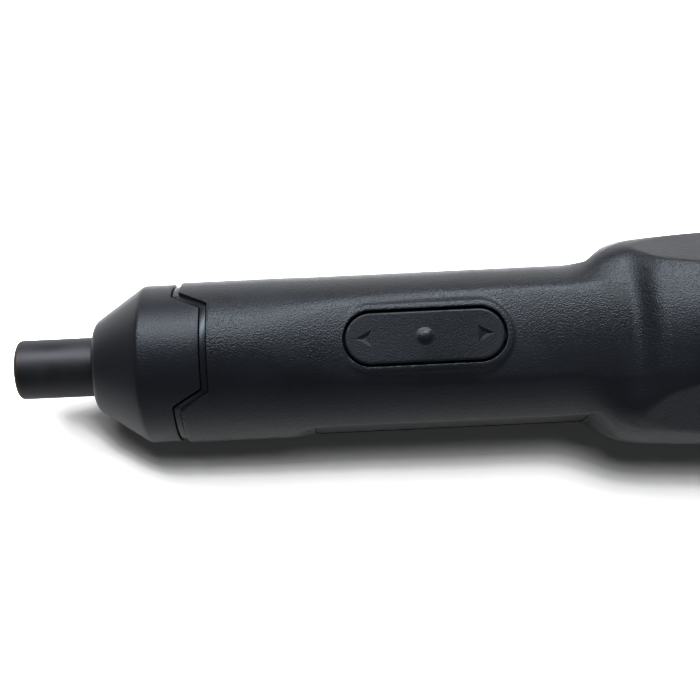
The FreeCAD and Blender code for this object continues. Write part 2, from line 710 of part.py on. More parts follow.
def nose_cap():
    face_r = NOSE_FACE_D / 2
    bore_r = holder_r + END_PLAY
    x_inner = x_face + NOSE_FACE_WALL
    inner_r = face_r + (x_inner - x_face) * cone_slope - NOSE_WALL
    x_bore = x_inner + (spigot_bore_r - inner_r) / cone_slope
    edge_rise = NOSE_EDGE * cone_slope
    outer = [(x_face, bore_r), (x_face, face_r - NOSE_EDGE), (x_face + NOSE_EDGE, face_r + edge_rise),
             (x_cone, nose_r), (x_tongue, nose_r), (x_tongue, spigot_bore_r), (x_bore, spigot_bore_r),
             (x_inner, inner_r), (x_inner, bore_r)]
    cap = turned(outer).common(zigzag_zone(0.0))
    x_bead = x_notch + (SPIGOT_REACH - BEAD_WIDTH) / 2
    spigot = tube(2 * spigot_r, 2 * spigot_bore_r, x_cone, x_spigot)
    bead = tube(2 * (spigot_r + BEAD_RISE), 2 * spigot_bore_r, x_bead, x_bead + BEAD_WIDTH)
    return joined(cap, spigot, bead)


def trim_ring():
    band = tube(2 * (nose_r - TRIM_DROP), 2 * (spigot_r + PRESS_FIT), x_rim - 1, x_notch)
    return band.common(zigzag_zone(TRIM_WIDTH - PRESS_FIT)).cut(zigzag_zone(PRESS_FIT))


# Spindle and gear case

def bit_holder():
    c = MOUTH_CHAMFER
    clip_r = spindle_r - CLIP_GROOVE
    outline = [(0, 0), (0, holder_r - c), (c, holder_r), (x_shoulder, holder_r), (x_shoulder, spindle_r),
               (x_clip, spindle_r), (x_clip, clip_r), (x_clip + CLIP_THICKNESS + RUN_FIT, clip_r),
               (x_clip + CLIP_THICKNESS + RUN_FIT, spindle_r), (x_drive, spindle_r), (x_drive, 0)]
    drive = hexagon(DRIVE_HEX, x_drive, x_drive + OUTPUT_CARRIER_THICKNESS)
    socket = hexagon(BIT_HEX + BIT_EASE, -1, SOCKET_DEPTH)
    corner_r = (BIT_HEX + BIT_EASE) / math.sqrt(3)
    lead_depth = corner_r - BIT_HEX / 2
    lead = turned([(-1, 0), (-1, corner_r + 1), (lead_depth, BIT_HEX / 2), (lead_depth, 0)])
    pocket = rod(MAGNET_D + 2 * PRESS_FIT, 1, SOCKET_DEPTH + MAGNET_LENGTH)
    return joined(turned(outline), drive).cut([socket, lead, pocket])


def spindle_clip():
    ring = tube(CLIP_D, 2 * (spindle_r - CLIP_GROOVE + PRESS_FIT), x_clip + RUN_FIT / 2,
                x_clip + CLIP_THICKNESS + RUN_FIT / 2)
    mouth = block(x_clip - 1, x_clip + 2, -SPINDLE_D / 4, SPINDLE_D / 4, 0, FAR)
    return ring.cut(mouth)


def spindle_bush():
    sleeve = rod(2 * bush_r, x_bush, x_bush_end)
    flange = rod(2 * (bush_r + BUSH_FLANGE), x_bush, x_case)
    return joined(sleeve, flange).cut(rod(SPINDLE_D + 2 * RUN_FIT, x_bush - 1, x_bush_end + 1))


def gear_case():
    bore_r = bush_r + PRESS_FIT
    x_wide = x_case + (case_r - boss_r) / cone_slope
    outline = [(x_case, bore_r), (x_case, boss_r), (x_wide, case_r), (x_plate, case_r),
               (x_plate, case_bore_r), (x_bush_end, case_bore_r), (x_bush_end, bore_r)]
    key = block(x_plate - KEY_LENGTH, x_plate, case_r - CASE_WALL / 2, case_r + KEY_REACH, -KEY_WIDTH / 2,
                KEY_WIDTH / 2)
    return joined(turned(outline), key, mirrored(key))


def ring_gear():
    blank = rod(2 * ring_r, x_output - END_PLAY / 2, x_plate)
    void = gear(ring_teeth, DEDENDUM, ADDENDUM, -BACKLASH / 2, x_output - 1, x_plate + 1)
    return blank.cut(void)


def output_carrier():
    plate = rod(2 * carrier_r, x_drive, x_drive + OUTPUT_CARRIER_THICKNESS)
    hub = hexagon(DRIVE_HEX + 2 * PRESS_FIT, x_drive - 1, x_output)
    return plate.cut([hub] + pin_holes(x_drive + PLANET_PIN_D / 2, x_output))


def first_carrier():
    """First-stage carrier with the second stage's sun on its front."""
    plate = rod(2 * carrier_r, x_first, x_first + INPUT_CARRIER_THICKNESS)
    holes = pin_holes(x_first + PLANET_PIN_D / 2, x_input)
    return joined(plate.cut(holes), sun(x_output, x_first))


def motor_pinion():
    return sun(x_input, x_input_end).cut(rod(MOTOR_SHAFT_D + 2 * PRESS_FIT, x_input - 1, x_input_end + 1))


def thrust_washer():
    return tube(2 * carrier_r, MOTOR_BOSS_D, x_washer, x_plate)


# Motor

def motor_screw_spots():
    return [(0.0, side * MOTOR_SCREW_CIRCLE / 2) for side in (1, -1)]


def screw_cone(y, z, grow):
    """Countersunk head sunk into the motor plate."""
    big = MOTOR_SCREW_HEAD_D / 2 + grow
    small = MOTOR_SCREW_D / 2 + grow
    return Part.makeCone(big, small, big - small, V(x_plate, y, z), AXIS)


def motor_plate():
    plate = rod(2 * case_r, x_plate, x_can)
    cuts = [rod(MOTOR_BOSS_D + 2 * SEAT_FIT, x_plate - 1, x_can + 1)]
    for y, z in motor_screw_spots():
        cuts.append(rod(MOTOR_SCREW_D + 2 * PRESS_FIT, x_plate - 1, x_can + 1, y, z))
        cuts.append(screw_cone(y, z, PRESS_FIT))
    return plate.cut(cuts)


def motor_screws():
    return [joined(screw_cone(y, z, 0.0), rod(MOTOR_SCREW_D, x_plate, x_plate + MOTOR_SCREW_LENGTH, y, z))
            for y, z in motor_screw_spots()]


def motor_can():
    cup = motor_prism(0.0, x_can, x_can_end).cut(motor_prism(-CAN_WALL, x_can + CAN_WALL, x_can_end + 1))
    boss = rod(MOTOR_BOSS_D, x_can - MOTOR_BOSS_LENGTH, x_can + CAN_WALL)
    cuts = [rod(MOTOR_BUSH_D + 2 * PRESS_FIT, x_can - MOTOR_BOSS_LENGTH - 1, x_can + CAN_WALL + 1)]
    cuts += [rod(MOTOR_SCREW_D + 2 * PRESS_FIT, x_can - 1, x_can + CAN_WALL + 1, y, z)
             for y, z in motor_screw_spots()]
    return joined(cup, boss).cut(cuts)


def motor_cap():
    lid = motor_prism(0.0, x_can_end, x_cap_end)
    boss = rod(MOTOR_BOSS_D, x_cap_end, x_cap_end + MOTOR_BOSS_LENGTH)
    brush_r = math.hypot(COMMUTATOR_D / 2 + RUN_FIT + BRUSH_LENGTH, BRUSH_WIDTH / 2)
    well = rod(2 * (brush_r + PRESS_FIT), x_can_end - 1, x_cap_end - CAN_WALL)
    cuts = [well, rod(MOTOR_BUSH_D + 2 * PRESS_FIT, x_can_end - 1, x_cap_end + MOTOR_BOSS_LENGTH + 1)]
    cuts += [terminal(side, PRESS_FIT) for side in (1, -1)]
    return joined(lid, boss).cut(cuts)


def terminal(side, grow):
    t = TERMINAL_THICKNESS / 2 + grow
    w = TERMINAL_WIDTH / 2 + grow
    y = side * TERMINAL_OFFSET
    return block(x_cap_end - MOTOR_CAP_LENGTH / 2, x_cap_end + TERMINAL_REACH, y - t, y + t, -w, w)


def motor_bushes():
    inner = MOTOR_SHAFT_D + 2 * RUN_FIT
    front = x_can - MOTOR_BOSS_LENGTH
    rear = x_cap_end + MOTOR_BOSS_LENGTH
    return [tube(MOTOR_BUSH_D, inner, front, front + MOTOR_BUSH_LENGTH),
            tube(MOTOR_BUSH_D, inner, rear - MOTOR_BUSH_LENGTH, rear)]


def motor_magnets():
    x0 = x_can + (CAN_LENGTH - MAGNET_ARC_LENGTH) / 2
    arc = Part.makeCylinder(magnet_r, MAGNET_ARC_LENGTH, V(x0, 0, 0), AXIS, MAGNET_SPAN)
    arc = arc.cut(rod(2 * (magnet_r - MAGNET_WALL), x0 - 1, x0 + MAGNET_ARC_LENGTH + 1))
    centre = arc.Solids[0].CenterOfMass
    arc.rotate(ORIGIN, AXIS, -math.degrees(math.atan2(centre.z, centre.y)))
    return around(arc, 2)


x_core = x_can + (CAN_LENGTH - ARMATURE_LENGTH) / 2
x_core_end = x_core + ARMATURE_LENGTH


def winding_rods(diameter, x0, x1):
    return around(rod(diameter, x0, x1, slot_r), POLE_COUNT)


def armature_core():
    mouth = block(x_core - 1, x_core_end + 1, slot_r, FAR, -SLOT_MOUTH / 2, SLOT_MOUTH / 2)
    cuts = winding_rods(slot_d, x_core - 1, x_core_end + 1) + around(mouth, POLE_COUNT)
    cuts.append(rod(MOTOR_SHAFT_D + 2 * PRESS_FIT, x_core - 1, x_core_end + 1))
    return rod(2 * armature_r, x_core, x_core_end).cut(cuts)


def armature_windings():
    wire_d = slot_d - 2 * SEAT_FIT
    ends = [tube(2 * slot_r + wire_d, 2 * slot_r - wire_d, x, x + WINDING_OVERHANG)
            for x in (x_core - WINDING_OVERHANG - SEAT_FIT, x_core_end + SEAT_FIT)]
    rods = winding_rods(wire_d, x_core - WINDING_OVERHANG, x_core_end + WINDING_OVERHANG)
    return joined(*(ends + rods))


def motor_shaft():
    return rod(MOTOR_SHAFT_D, x_input, x_cap_end + MOTOR_BOSS_LENGTH)


def commutator():
    x1 = x_can_end + COMMUTATOR_LENGTH / 2 - END_PLAY
    return tube(COMMUTATOR_D, MOTOR_SHAFT_D + 2 * PRESS_FIT, x1 - COMMUTATOR_LENGTH, x1)


def motor_brushes():
    y0 = COMMUTATOR_D / 2 + RUN_FIT
    w = BRUSH_WIDTH / 2
    brush = block(x_can_end, x_can_end + BRUSH_WIDTH, y0 - w, y0 + BRUSH_LENGTH, -w, w)
    brush = brush.cut(rod(2 * y0, x_can_end - 1, x_cap_end))
    return [brush, mirrored(brush)]


# Button and electronics

def rocker_button():
    x0 = x_button
    foot_z = button_z - BUTTON_THICKNESS
    body = pill(BUTTON_LENGTH, BUTTON_WIDTH, x0, foot_z, button_z - BUTTON_BEVEL)
    crown = pill(BUTTON_LENGTH, BUTTON_WIDTH, x0, button_z - BUTTON_BEVEL, button_z, -BUTTON_BEVEL)
    dome_r = (DOT_D ** 2 / 4 + DOT_RISE ** 2) / (2 * DOT_RISE)
    dome = Part.makeSphere(dome_r, V(x0, 0, button_z + DOT_RISE - dome_r))
    dot = dome.common(post(DOT_D, x0, 0, button_z - DOT_RISE, button_z + 2 * DOT_RISE))
    feet = [post(FOOT_D, x0 + side * FOOT_OFFSET, 0, foot_z - FOOT_LENGTH, foot_z + 1) for side in (1, -1)]
    ear = block(x0 - EAR_WIDTH / 2, x0 + EAR_WIDTH / 2, EAR_GAP / 2, EAR_GAP / 2 + EAR_THICKNESS,
                hinge_z - EAR_BELOW, foot_z + 1)
    hole = cross_rod(HINGE_PIN_D + 2 * RUN_FIT, x0, hinge_z, -FAR, FAR)
    arrows = []
    for side in (1, -1):
        base = x0 + side * (ARROW_OFFSET - ARROW_LENGTH / 2)
        corners = [(base, -ARROW_WIDTH / 2), (base, ARROW_WIDTH / 2), (base + side * ARROW_LENGTH, 0)]
        face = outline_face([V(x, y, button_z - ARROW_DEPTH) for x, y in corners])
        arrows.append(face.extrude(V(0, 0, 1)))
    return joined(body, crown, dot, ear, mirrored(ear), *feet).cut(arrows + [hole])


def hinge_pin():
    reach = lug_y + LUG_THICKNESS
    return cross_rod(HINGE_PIN_D, x_button, hinge_z, -reach, reach)


def switch_board():
    board = block(x_board, x_board_end, -BOARD_WIDTH / 2, BOARD_WIDTH / 2, board_z, board_top_z)
    return board.cut(post(BOARD_SCREW_D + 2 * SEAT_FIT, x_board_end - BOARD_POST_INSET, 0, 0, FAR))


def board_pad():
    half = BOARD_WIDTH / 2 - PAD_INSET
    return block(x_board + PAD_INSET, x_cap_end - PAD_INSET, -half, half, motor_top_z, board_z)


def tact_switches():
    half = SWITCH_SIDE / 2
    top = board_top_z + SWITCH_HEIGHT
    switches = []
    for side in (1, -1):
        x = x_button + side * FOOT_OFFSET
        case = block(x - half, x + half, -half, half, board_top_z, top)
        switches.append(joined(case, post(STEM_D, x, 0, top, top + STEM_HEIGHT)))
    return switches


def board_screw():
    x = x_board_end - BOARD_POST_INSET
    head = post(BOARD_SCREW_HEAD_D, x, 0, board_z - BOARD_SCREW_HEAD, board_z)
    return joined(head, post(BOARD_SCREW_D, x, 0, board_z, board_z + BOARD_SCREW_LENGTH))


def battery_cell():
    r = CELL_D / 2
    cap_r = CELL_CAP_D / 2
    c = CELL_CRIMP
    x_body = x_cell + CELL_CAP
    front = [(x_cell, 0), (x_cell, cap_r), (x_body, cap_r), (x_body, r - c), (x_body + c, r)]
    crimp = [(x_body + 4 * c, r), (x_body + 5 * c, r - c), (x_body + 6 * c, r)]
    rear = [(x_cell_end - c, r), (x_cell_end, r - c), (x_cell_end, 0)]
    return turned(front + crimp + rear)


def battery_tabs():
    half = TAB_WIDTH / 2
    return [block(x, x + TAB_THICKNESS, -half, half, -TAB_LENGTH / 2, TAB_LENGTH / 2)
            for x in (x_cell - TAB_THICKNESS, x_cell_end)]


def usb_shell():
    x1 = x_tail - USB_RECESS
    x0 = x1 - USB_LENGTH
    void = rounded_bar(USB_WIDTH - 2 * USB_WALL, USB_HEIGHT - 2 * USB_WALL, x0 + USB_WALL, x1 + 1)
    return rounded_bar(USB_WIDTH, USB_HEIGHT, x0, x1).cut(void)


def usb_tongue():
    x0 = x_tail - USB_RECESS - USB_LENGTH + USB_WALL
    wide = USB_TONGUE_WIDTH / 2
    high = USB_TONGUE_HEIGHT / 2
    return block(x0, x0 + USB_TONGUE_REACH, -wide, wide, -high, high)


def charge_board():
    half = CHARGE_BOARD_THICKNESS / 2
    wide = CHARGE_BOARD_WIDTH / 2
    board = block(x_bay + RAIL_INSET, x_bay_end - RAIL_INSET, -wide, wide, -half, half)
    bite = block(x_tail - USB_RECESS - USB_LENGTH - SEAT_FIT, x_tail, -USB_WIDTH / 2 - SEAT_FIT,
                 USB_WIDTH / 2 + SEAT_FIT, -FAR, FAR)
    corner = block(x_tail - LIGHT_LENGTH - SEAT_FIT, x_tail, LIGHT_OFFSET - LIGHT_D, FAR, -FAR, FAR)
    return board.cut([bite, corner])


def charge_light():
    return rod(LIGHT_D, x_tail - LIGHT_LENGTH, x_tail, LIGHT_OFFSET)


def lead(corners):
    """Insulated wire along straight runs with rounded bends."""
    edges = []
    start = corners[0]
    for before, corner, after in zip(corners, corners[1:], corners[2:]):
        back = (before - corner).normalize()
        on = (after - corner).normalize()
        half_angle = back.getAngle(on) / 2
        setback = LEAD_BEND / math.tan(half_angle)
        middle = corner + (back + on).normalize() * (LEAD_BEND / math.sin(half_angle) - LEAD_BEND)
        bend_from = corner + back * setback
        bend_to = corner + on * setback
        edges += [Part.makeLine(start, bend_from), Part.Arc(bend_from, middle, bend_to).toShape()]
        start = bend_to
    edges.append(Part.makeLine(start, corners[-1]))
    section = Part.Circle(corners[0], corners[1] - corners[0], LEAD_D / 2)
    return Part.Wire(edges).makePipeShell([Part.Wire(section.toShape())], True, True)


def motor_leads():
    """From the motor's terminals up to the underside of the switch board."""
    y0 = TERMINAL_OFFSET - TERMINAL_THICKNESS / 2 - LEAD_D / 2 - PRESS_FIT
    y1 = LEAD_SPREAD / 2
    x0 = x_cap_end + TERMINAL_REACH / 2
    x1 = x0 + 2 * TERMINAL_REACH
    return [lead([V(x0, side * y0, 0), V(x0 + TERMINAL_REACH, side * y0, 0), V(x1, side * y1, 0),
                  V(x1, side * y1, board_z)]) for side in (1, -1)]


def cell_leads():
    """From the cell's front tab to the switch board and from its rear tab to the charging board."""
    x0 = x_cell - TAB_THICKNESS
    x1 = x_board_end - RIB
    y1 = LEAD_SPREAD / 2
    front = lead([V(x0, 0, 0), V(x0 - 3 * RIB, 0, 0), V(x1, y1, 0), V(x1, y1, board_z)])
    x2 = x_cell_end + TAB_THICKNESS
    x3 = x_bay + 2 * RIB
    rear = lead([V(x2, 0, x3 - x2), V(x3, 0, x3 - x2), V(x3, 0, CHARGE_BOARD_THICKNESS / 2)])
    return [front, rear]


def power_leads():
    """Pair from the charging board over the cell to the switch board."""
    over = CELL_D / 2 + LEAD_LIFT + LEAD_D / 2
    x_rear = x_bay + 4 * RIB
    x_front = x_cell - 2 * RIB
    x_end = x_board_end - RIB
    leads = []
    for side in (1, -1):
        y0 = side * LEAD_PITCH / 2
        y1 = side * LEAD_SPREAD / 2
        leads.append(lead([V(x_rear, y0, CHARGE_BOARD_THICKNESS / 2), V(x_rear, y0, over),
                           V(x_front, y0, over), V(x_end, y1, over), V(x_end, y1, board_top_z)]))
    return leads


def side_plate():
    return plate_prism(flat_y - PLATE_POCKET, flat_y - PLATE_POCKET + PLATE_THICKNESS, SEAT_FIT)


def write(name, shape):
    """One STEP file per piece; a list of solids is one piece made of several."""
    solids = shape if isinstance(shape, list) else [shape]
    solids = [solid for entry in solids for solid in entry.Solids]
    result = solids[0] if len(solids) == 1 else Part.makeCompound(solids)
    result.exportStep(os.path.join("parts", name + ".step"))


def main():
    os.makedirs("parts", exist_ok=True)
    plate = side_plate()
    pieces = {
        "upper_shell": shell_half(True), "lower_shell": shell_half(False), "nose_cap": nose_cap(),
        "trim_ring": trim_ring(), "side_plate_left": plate, "side_plate_right": mirrored(plate),
        "shell_screws": [shell_screw(x, y) for x, y in screw_spots],
        "rocker_button": rocker_button(), "hinge_pin": hinge_pin(),
        "bit_holder": bit_holder(), "bit_magnet": rod(MAGNET_D, SOCKET_DEPTH, SOCKET_DEPTH + MAGNET_LENGTH),
        "spindle_clip": spindle_clip(), "spindle_bush": spindle_bush(),
        "gear_case": gear_case(), "ring_gear": ring_gear(), "thrust_washer": thrust_washer(),
        "output_carrier": output_carrier(),
        "output_pins": planet_pins(x_drive + PLANET_PIN_D / 2, x_output_end),
        "first_carrier": first_carrier(), "input_pins": planet_pins(x_first + PLANET_PIN_D / 2, x_input_end),
        "motor_pinion": motor_pinion(), "motor_plate": motor_plate(), "motor_screws": motor_screws(),
        "motor_can": motor_can(), "motor_cap": motor_cap(), "motor_bushes": motor_bushes(),
        "motor_magnets": motor_magnets(), "motor_terminals": [terminal(side, 0.0) for side in (1, -1)],
        "motor_brushes": motor_brushes(), "motor_shaft": motor_shaft(), "armature_core": armature_core(),
        "armature_windings": armature_windings(), "commutator": commutator(),
        "switch_board": switch_board(), "board_pad": board_pad(), "tact_switches": tact_switches(),
        "board_screw": board_screw(), "battery_cell": battery_cell(), "battery_tabs": battery_tabs(),
        "charge_board": charge_board(), "usb_shell": usb_shell(), "usb_tongue": usb_tongue(),
        "charge_light": charge_light(), "motor_leads": motor_leads(), "cell_leads": cell_leads(),
        "power_leads": power_leads(),
    }
    for stage, (x0, x1) in {"output": (x_output, x_output_end), "input": (x_input, x_input_end)}.items():
        for number, wheel in enumerate(planets(x0, x1), 1):
            pieces["%s_planet_%d" % (stage, number)] = wheel
    for name, shape in pieces.items():
        write(name, shape)


main()
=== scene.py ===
import bmesh
import bpy
import json
import math
import numpy as np
from contextlib import contextmanager
from mathutils import Matrix, Quaternion, Vector


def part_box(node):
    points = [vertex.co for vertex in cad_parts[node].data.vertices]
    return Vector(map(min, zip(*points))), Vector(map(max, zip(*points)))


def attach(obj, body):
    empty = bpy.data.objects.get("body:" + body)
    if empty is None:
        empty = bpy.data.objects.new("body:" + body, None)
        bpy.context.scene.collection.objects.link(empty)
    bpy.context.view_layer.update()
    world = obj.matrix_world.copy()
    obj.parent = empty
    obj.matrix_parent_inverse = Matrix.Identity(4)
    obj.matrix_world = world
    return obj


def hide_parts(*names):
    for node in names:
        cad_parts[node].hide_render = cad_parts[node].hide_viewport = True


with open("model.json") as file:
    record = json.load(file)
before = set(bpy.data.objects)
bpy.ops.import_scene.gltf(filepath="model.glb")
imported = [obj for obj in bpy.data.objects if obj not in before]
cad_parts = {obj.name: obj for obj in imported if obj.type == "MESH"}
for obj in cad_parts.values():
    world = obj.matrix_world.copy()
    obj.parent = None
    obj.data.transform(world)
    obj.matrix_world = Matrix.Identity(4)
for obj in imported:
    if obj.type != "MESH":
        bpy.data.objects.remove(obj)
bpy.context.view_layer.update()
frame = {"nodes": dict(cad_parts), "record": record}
nodes = frame["nodes"]

# Sizes below are in millimetres; meshes are made in metres.
MM = 0.001


def box_mm(node):
    """Low and high corner of a node's box, in millimetres."""
    low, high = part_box(node)
    return np.array(low) / MM, np.array(high) / MM


nose_low, nose_high = box_mm("nose_cap")
shell_low, shell_high = box_mm("upper_shell")
holder_high = box_mm("bit_holder")[1]
magnet_low, magnet_high = box_mm("bit_magnet")
button_low, button_high = box_mm("rocker_button")
plate_low, plate_high = box_mm("side_plate_left")
port_low, port_high = box_mm("usb_shell")
light_low, light_high = box_mm("charge_light")
screws_low, screws_high = box_mm("shell_screws")
clip_low, clip_high = box_mm("spindle_clip")
case_low = box_mm("gear_case")[0]
pin_low, pin_high = box_mm("hinge_pin")

# Nose, trim ring and zigzag edge
NOSE_STEP = 0.3
NOSE_FACE_R = 8.2
NOSE_EDGE = 1.0
CONE_LENGTH = 9.5
CONE_EDGE = 0.5
NOSE_FACE_WALL = 2.0
NOSE_WALL = 2.6
HOLDER_PLAY = 0.25
TRIM_WIDTH = 1.4
TRIM_DROP = 0.4
TRIM_GAP = 0.16  # dark line on both sides of the ring
TONGUE_LENGTH = 5.3
TONGUE_TIP = 7.4  # half widths
TONGUE_ROOT = 10.1
SPIGOT_DROP = 2.1  # spigot under the body's radius
SPIGOT_WALL = 1.15
RIM_ROUND = 0.18
MIDWAY = 0.3  # share of a small rounding at which its middle point lies
BORE_EDGE = 0.3
TRIM_SEAT = 0.02  # ring above the spigot

# Bit holder
HOLDER_EDGE = 0.96  # rounding of the mouth across its face, and along the sleeve
HOLDER_RUN = 0.84
SOCKET_FLATS = 6.45
MOUTH_RINGS = (0.62, 0.55, 0.4, 0.25, 0.12, 0.04)  # countersink of the socket, along the axis
MOUTH_EASE = 0.02  # countersink beyond the socket's corners
MOUTH_RIM = ((0.04, 0.1), (0.0, 0.15), (0.0, 0.3))  # rounding: place, and radius beyond those corners
MAGNET_FIT = 0.02
SPINDLE_R = 4.0
GROOVE_R = 3.4
BUSH_FLANGE_ROOM = 1.25  # shoulder to the gear case's front
DRIVE_FLATS = 6.0
DRIVE_LENGTH = 3.5
DRIVE_ROOM = 0.8  # clip's rear face to the drive

# Body
SHELL_WALL = 2.0
NECK_LENGTH = 69.7
FLARE_R = 12.0
SHOULDER_R = 18.0
BELLY_R = 300.0
BELLY_AT = 36.9
TAIL_R = 6.0
RELIEF_HEIGHT = 13.0  # thumb face beside the button
CROWN_RISE = 0.35
CROWN_R = 40.0
RELIEF_START = 53.7
RELIEF_LENGTH = 26.8
LEAD_LENGTH = 40.0
LEAD_CROWN_R = 20.0
RIDGE_Y = 8.7  # thumb face's ridges from the middle
RIDGE_FALL = 36.0  # slope beyond them
FALL_EASE = 0.35  # share of that slope that is gone where the ramp begins
SWELL_FROM = 7.6  # handle's swell rises beyond the ridges between these distances from the middle
SWELL_TO = 17.5
SWELL_RUN = 20.0  # and over this length behind the neck
SWELL_LATE = 0.5  # share of that length from which it rises more
RAMP_RUN = 7.0
RAMP_RISE = 3.8
RAMP_FOLLOW = 0.3  # slope that carries the ramp over the handle's round
FLATTEN = 0.13  # share by which the handle's top is lower around the ramp
FLATTEN_IN = 9.0
FLATTEN_OUT = 26.0
FLATTEN_FROM = 5.0  # from the middle plane, where the lower top begins to rise to the round
FLATTEN_SIDE = 12.0
FLAT_DEPTH = 0.9
FLAT_START = 22.6
FLAT_LENGTH = 51.9
FLAT_LEAD = 3.6
FLAT_RISE = 4.1
FLAT_RUN = 4.7
FACET_APOTHEM = 18.4
FACET_ANGLES = (50.0, 130.0, 230.0, 310.0)
REST_DEPTH = 1.5  # flat under the handle
PART_LINE = 0.12  # half width of the groove between the shells

# How far edges are softened: depth that the softening takes is a quarter of this
RIDGE_SOFT = 0.4
RAMP_SOFT = 1.4
FLAT_SOFT = 0.08
FACET_SOFT = 0.16

# Button and its lip
BUTTON_GAP = 0.45
BUTTON_ROUND = 0.4
DOT_RISE = 0.45
DOT_R = 1.65
DOT_SHAPE = 2.6  # higher is flatter on top
LIP_RISE = 0.7
LIP_LAND = 1.0
LAND_FALL = 0.2  # slope of the land, down from the opening
LIP_BEVEL = 1.2
LIP_ROUND = 0.22
LIP_SOFT = 0.3
ARROW_OFFSET = 10.9
ARROW_LENGTH = 3.0
ARROW_WIDTH = 3.2
ARROW_DEPTH = 0.4
ARROW_FLOOR = 0.35  # floor of the arrow against its outline
BUTTON_THICKNESS = 2.4
BUTTON_CHAMFER = 0.2  # lower edge
EAR_GAP = 2.6  # half the space between the button's ears
EAR_THICKNESS = 1.6
EAR_WIDTH = 3.2
EAR_BELOW = 1.0  # under the hinge pin's middle
EAR_SINK = 0.5  # ears and feet into the key
FOOT_OFFSET = 9.0
FOOT_R = 1.2
FOOT_RISE = 1.7  # feet end this far above the button's lowest point
PIN_HOLE_R = 0.65
PIN_HOLE_HALF = 8.0

# Plates, port and screws
PLATE_POCKET = 0.7
PLATE_GAP = 0.1
PLATE_CHAMFER = 1.3
PLATE_ROUND = 0.12
PORT_EASE = 0.35
PORT_ROUND = 0.06
LIGHT_ROUND = 0.2
SCREW_HEAD_D = 4.2
SCREW_HEAD = 1.6
SCREW_D = 2.2
SCREW_SLOT = 0.7
SLOT_LENGTH = 2.604
SLOT_DEPTH = 0.88
SCREW_EASE = 0.1
OVERCUT = 1.0  # cutters reach this far out of the skin

# How fine the meshes are
MERGE = 0.002  # points nearer than this become one
TINY = 1e-6  # allowance for rounding in comparisons
SHARP_ANGLE = 32.0
FACETED = 12.0  # sharp angle of pieces whose flat faces stay flat up to their rounded edges
FAR = 1000.0  # radius that no skin reaches
SIDE_FACING = 0.3  # a flat cuts only rays that face it at least this much
FACET_FACING = 0.5
THUMB_FACING = 0.1
HALVINGS = 40
ROUND_STEPS = 48
ROW_STEP = math.radians(1.25)
EDGE_STEPS = 12  # columns of the shells, from the zigzag edge to the tail's end
BODY_STEP = 1.0
PATCH_STEP = 0.8
NECK_STEP = 0.5
RAMP_STEP = 0.13
HANDLE_STEP = 0.8
BELLY_FROM = 10.0  # behind the handle's shoulder
BELLY_STEP = 1.5
TAIL_STEPS = 12
END_STEPS = 7
X_BLEND = 44.0  # the zigzag edge's columns are straight from here on
PATCH_REACH = 19.0  # grid that gives way to the button's rings, along the tool
PATCH_TURN = math.radians(37.0)
FACE_STEPS = 10  # rings round the button: on the thumb face, on the lip's bevel, on its land
BEVEL_STEPS = 13
LAND_RINGS = (0.75, 0.5)
RING_SPARE = 0.5  # lip's rings begin this far outside its foot
CONE_STEP = 1.2
SLEEVE_STEP = 2.0
SLEEVE_TURN = 3.0
RING_STEPS = 8
PORT_STEPS = 16
KEY_STEP = 0.2
KEY_TURN = math.radians(4.5)
KEY_EDGE_STEPS = 6
KEY_TOP_STEPS = 26

x_face = nose_low[0]
nose_r = nose_high[2]
body_r = nose_r + NOSE_STEP
x_cone = x_face + CONE_LENGTH
x_shell = shell_low[0]
x_rim = x_shell - TRIM_WIDTH
x_tail = shell_high[0]
x_neck = x_shell + NECK_LENGTH
x_spigot = nose_high[0]
belly_rise = shell_high[2] - body_r
holder_r = holder_high[2]
spigot_r = body_r - SPIGOT_DROP
x_button = (button_low[0] + button_high[0]) / 2
button_half_length = (button_high[0] - button_low[0]) / 2
button_half_width = (button_high[1] - button_low[1]) / 2
button_z = button_high[2] - DOT_RISE
lip_z = RELIEF_HEIGHT + LIP_RISE
flat_y = body_r - FLAT_DEPTH
rest_slope = (body_r + belly_rise - REST_DEPTH - nose_r) / (x_neck + BELLY_AT - x_cone)


# Mesh helpers

def link(name, data):
    """A new object at the origin, in the scene."""
    obj = bpy.data.objects.new(name, data)
    bpy.context.scene.collection.objects.link(obj)
    return obj


def plain_piece(name, points, faces):
    """A new object from points in millimetres."""
    mesh = bpy.data.meshes.new(name)
    mesh.from_pydata([tuple(p) for p in np.asarray(points) * MM], [], faces)
    return link(name, mesh)


@contextmanager
def changes(piece):
    """A piece's mesh, open for changes."""
    work = bmesh.new()
    work.from_mesh(piece.data)
    yield work
    work.to_mesh(piece.data)
    work.free()


def tidy(piece):
    """Merges doubles, drops faces without area and turns the others outwards."""
    with changes(piece) as work:
        bmesh.ops.remove_doubles(work, verts=work.verts, dist=MERGE * MM)
        bmesh.ops.dissolve_degenerate(work, edges=work.edges, dist=MERGE * MM)
        bmesh.ops.recalc_face_normals(work, faces=work.faces)


def mesh_piece(name, points, faces):
    """A new piece from points in millimetres, tidied."""
    piece = plain_piece(name, points, faces)
    tidy(piece)
    return piece


def smooth(piece, sharp_angle=SHARP_ANGLE):
    """Smooth shading that breaks at edges sharper than an angle."""
    limit = math.radians(sharp_angle)
    with changes(piece) as work:
        for face in work.faces:
            face.smooth = True
        for edge in work.edges:
            edge.smooth = len(edge.link_faces) == 2 and edge.calc_face_angle() < limit


def settle(piece):
    """Applies the modifiers, so that only a plain mesh is left."""
    depsgraph = bpy.context.evaluated_depsgraph_get()
    mesh = bpy.data.meshes.new_from_object(piece.evaluated_get(depsgraph))
    mesh.name = piece.name
    piece.modifiers.clear()
    old = piece.data
    piece.data = mesh
    bpy.data.meshes.remove(old)


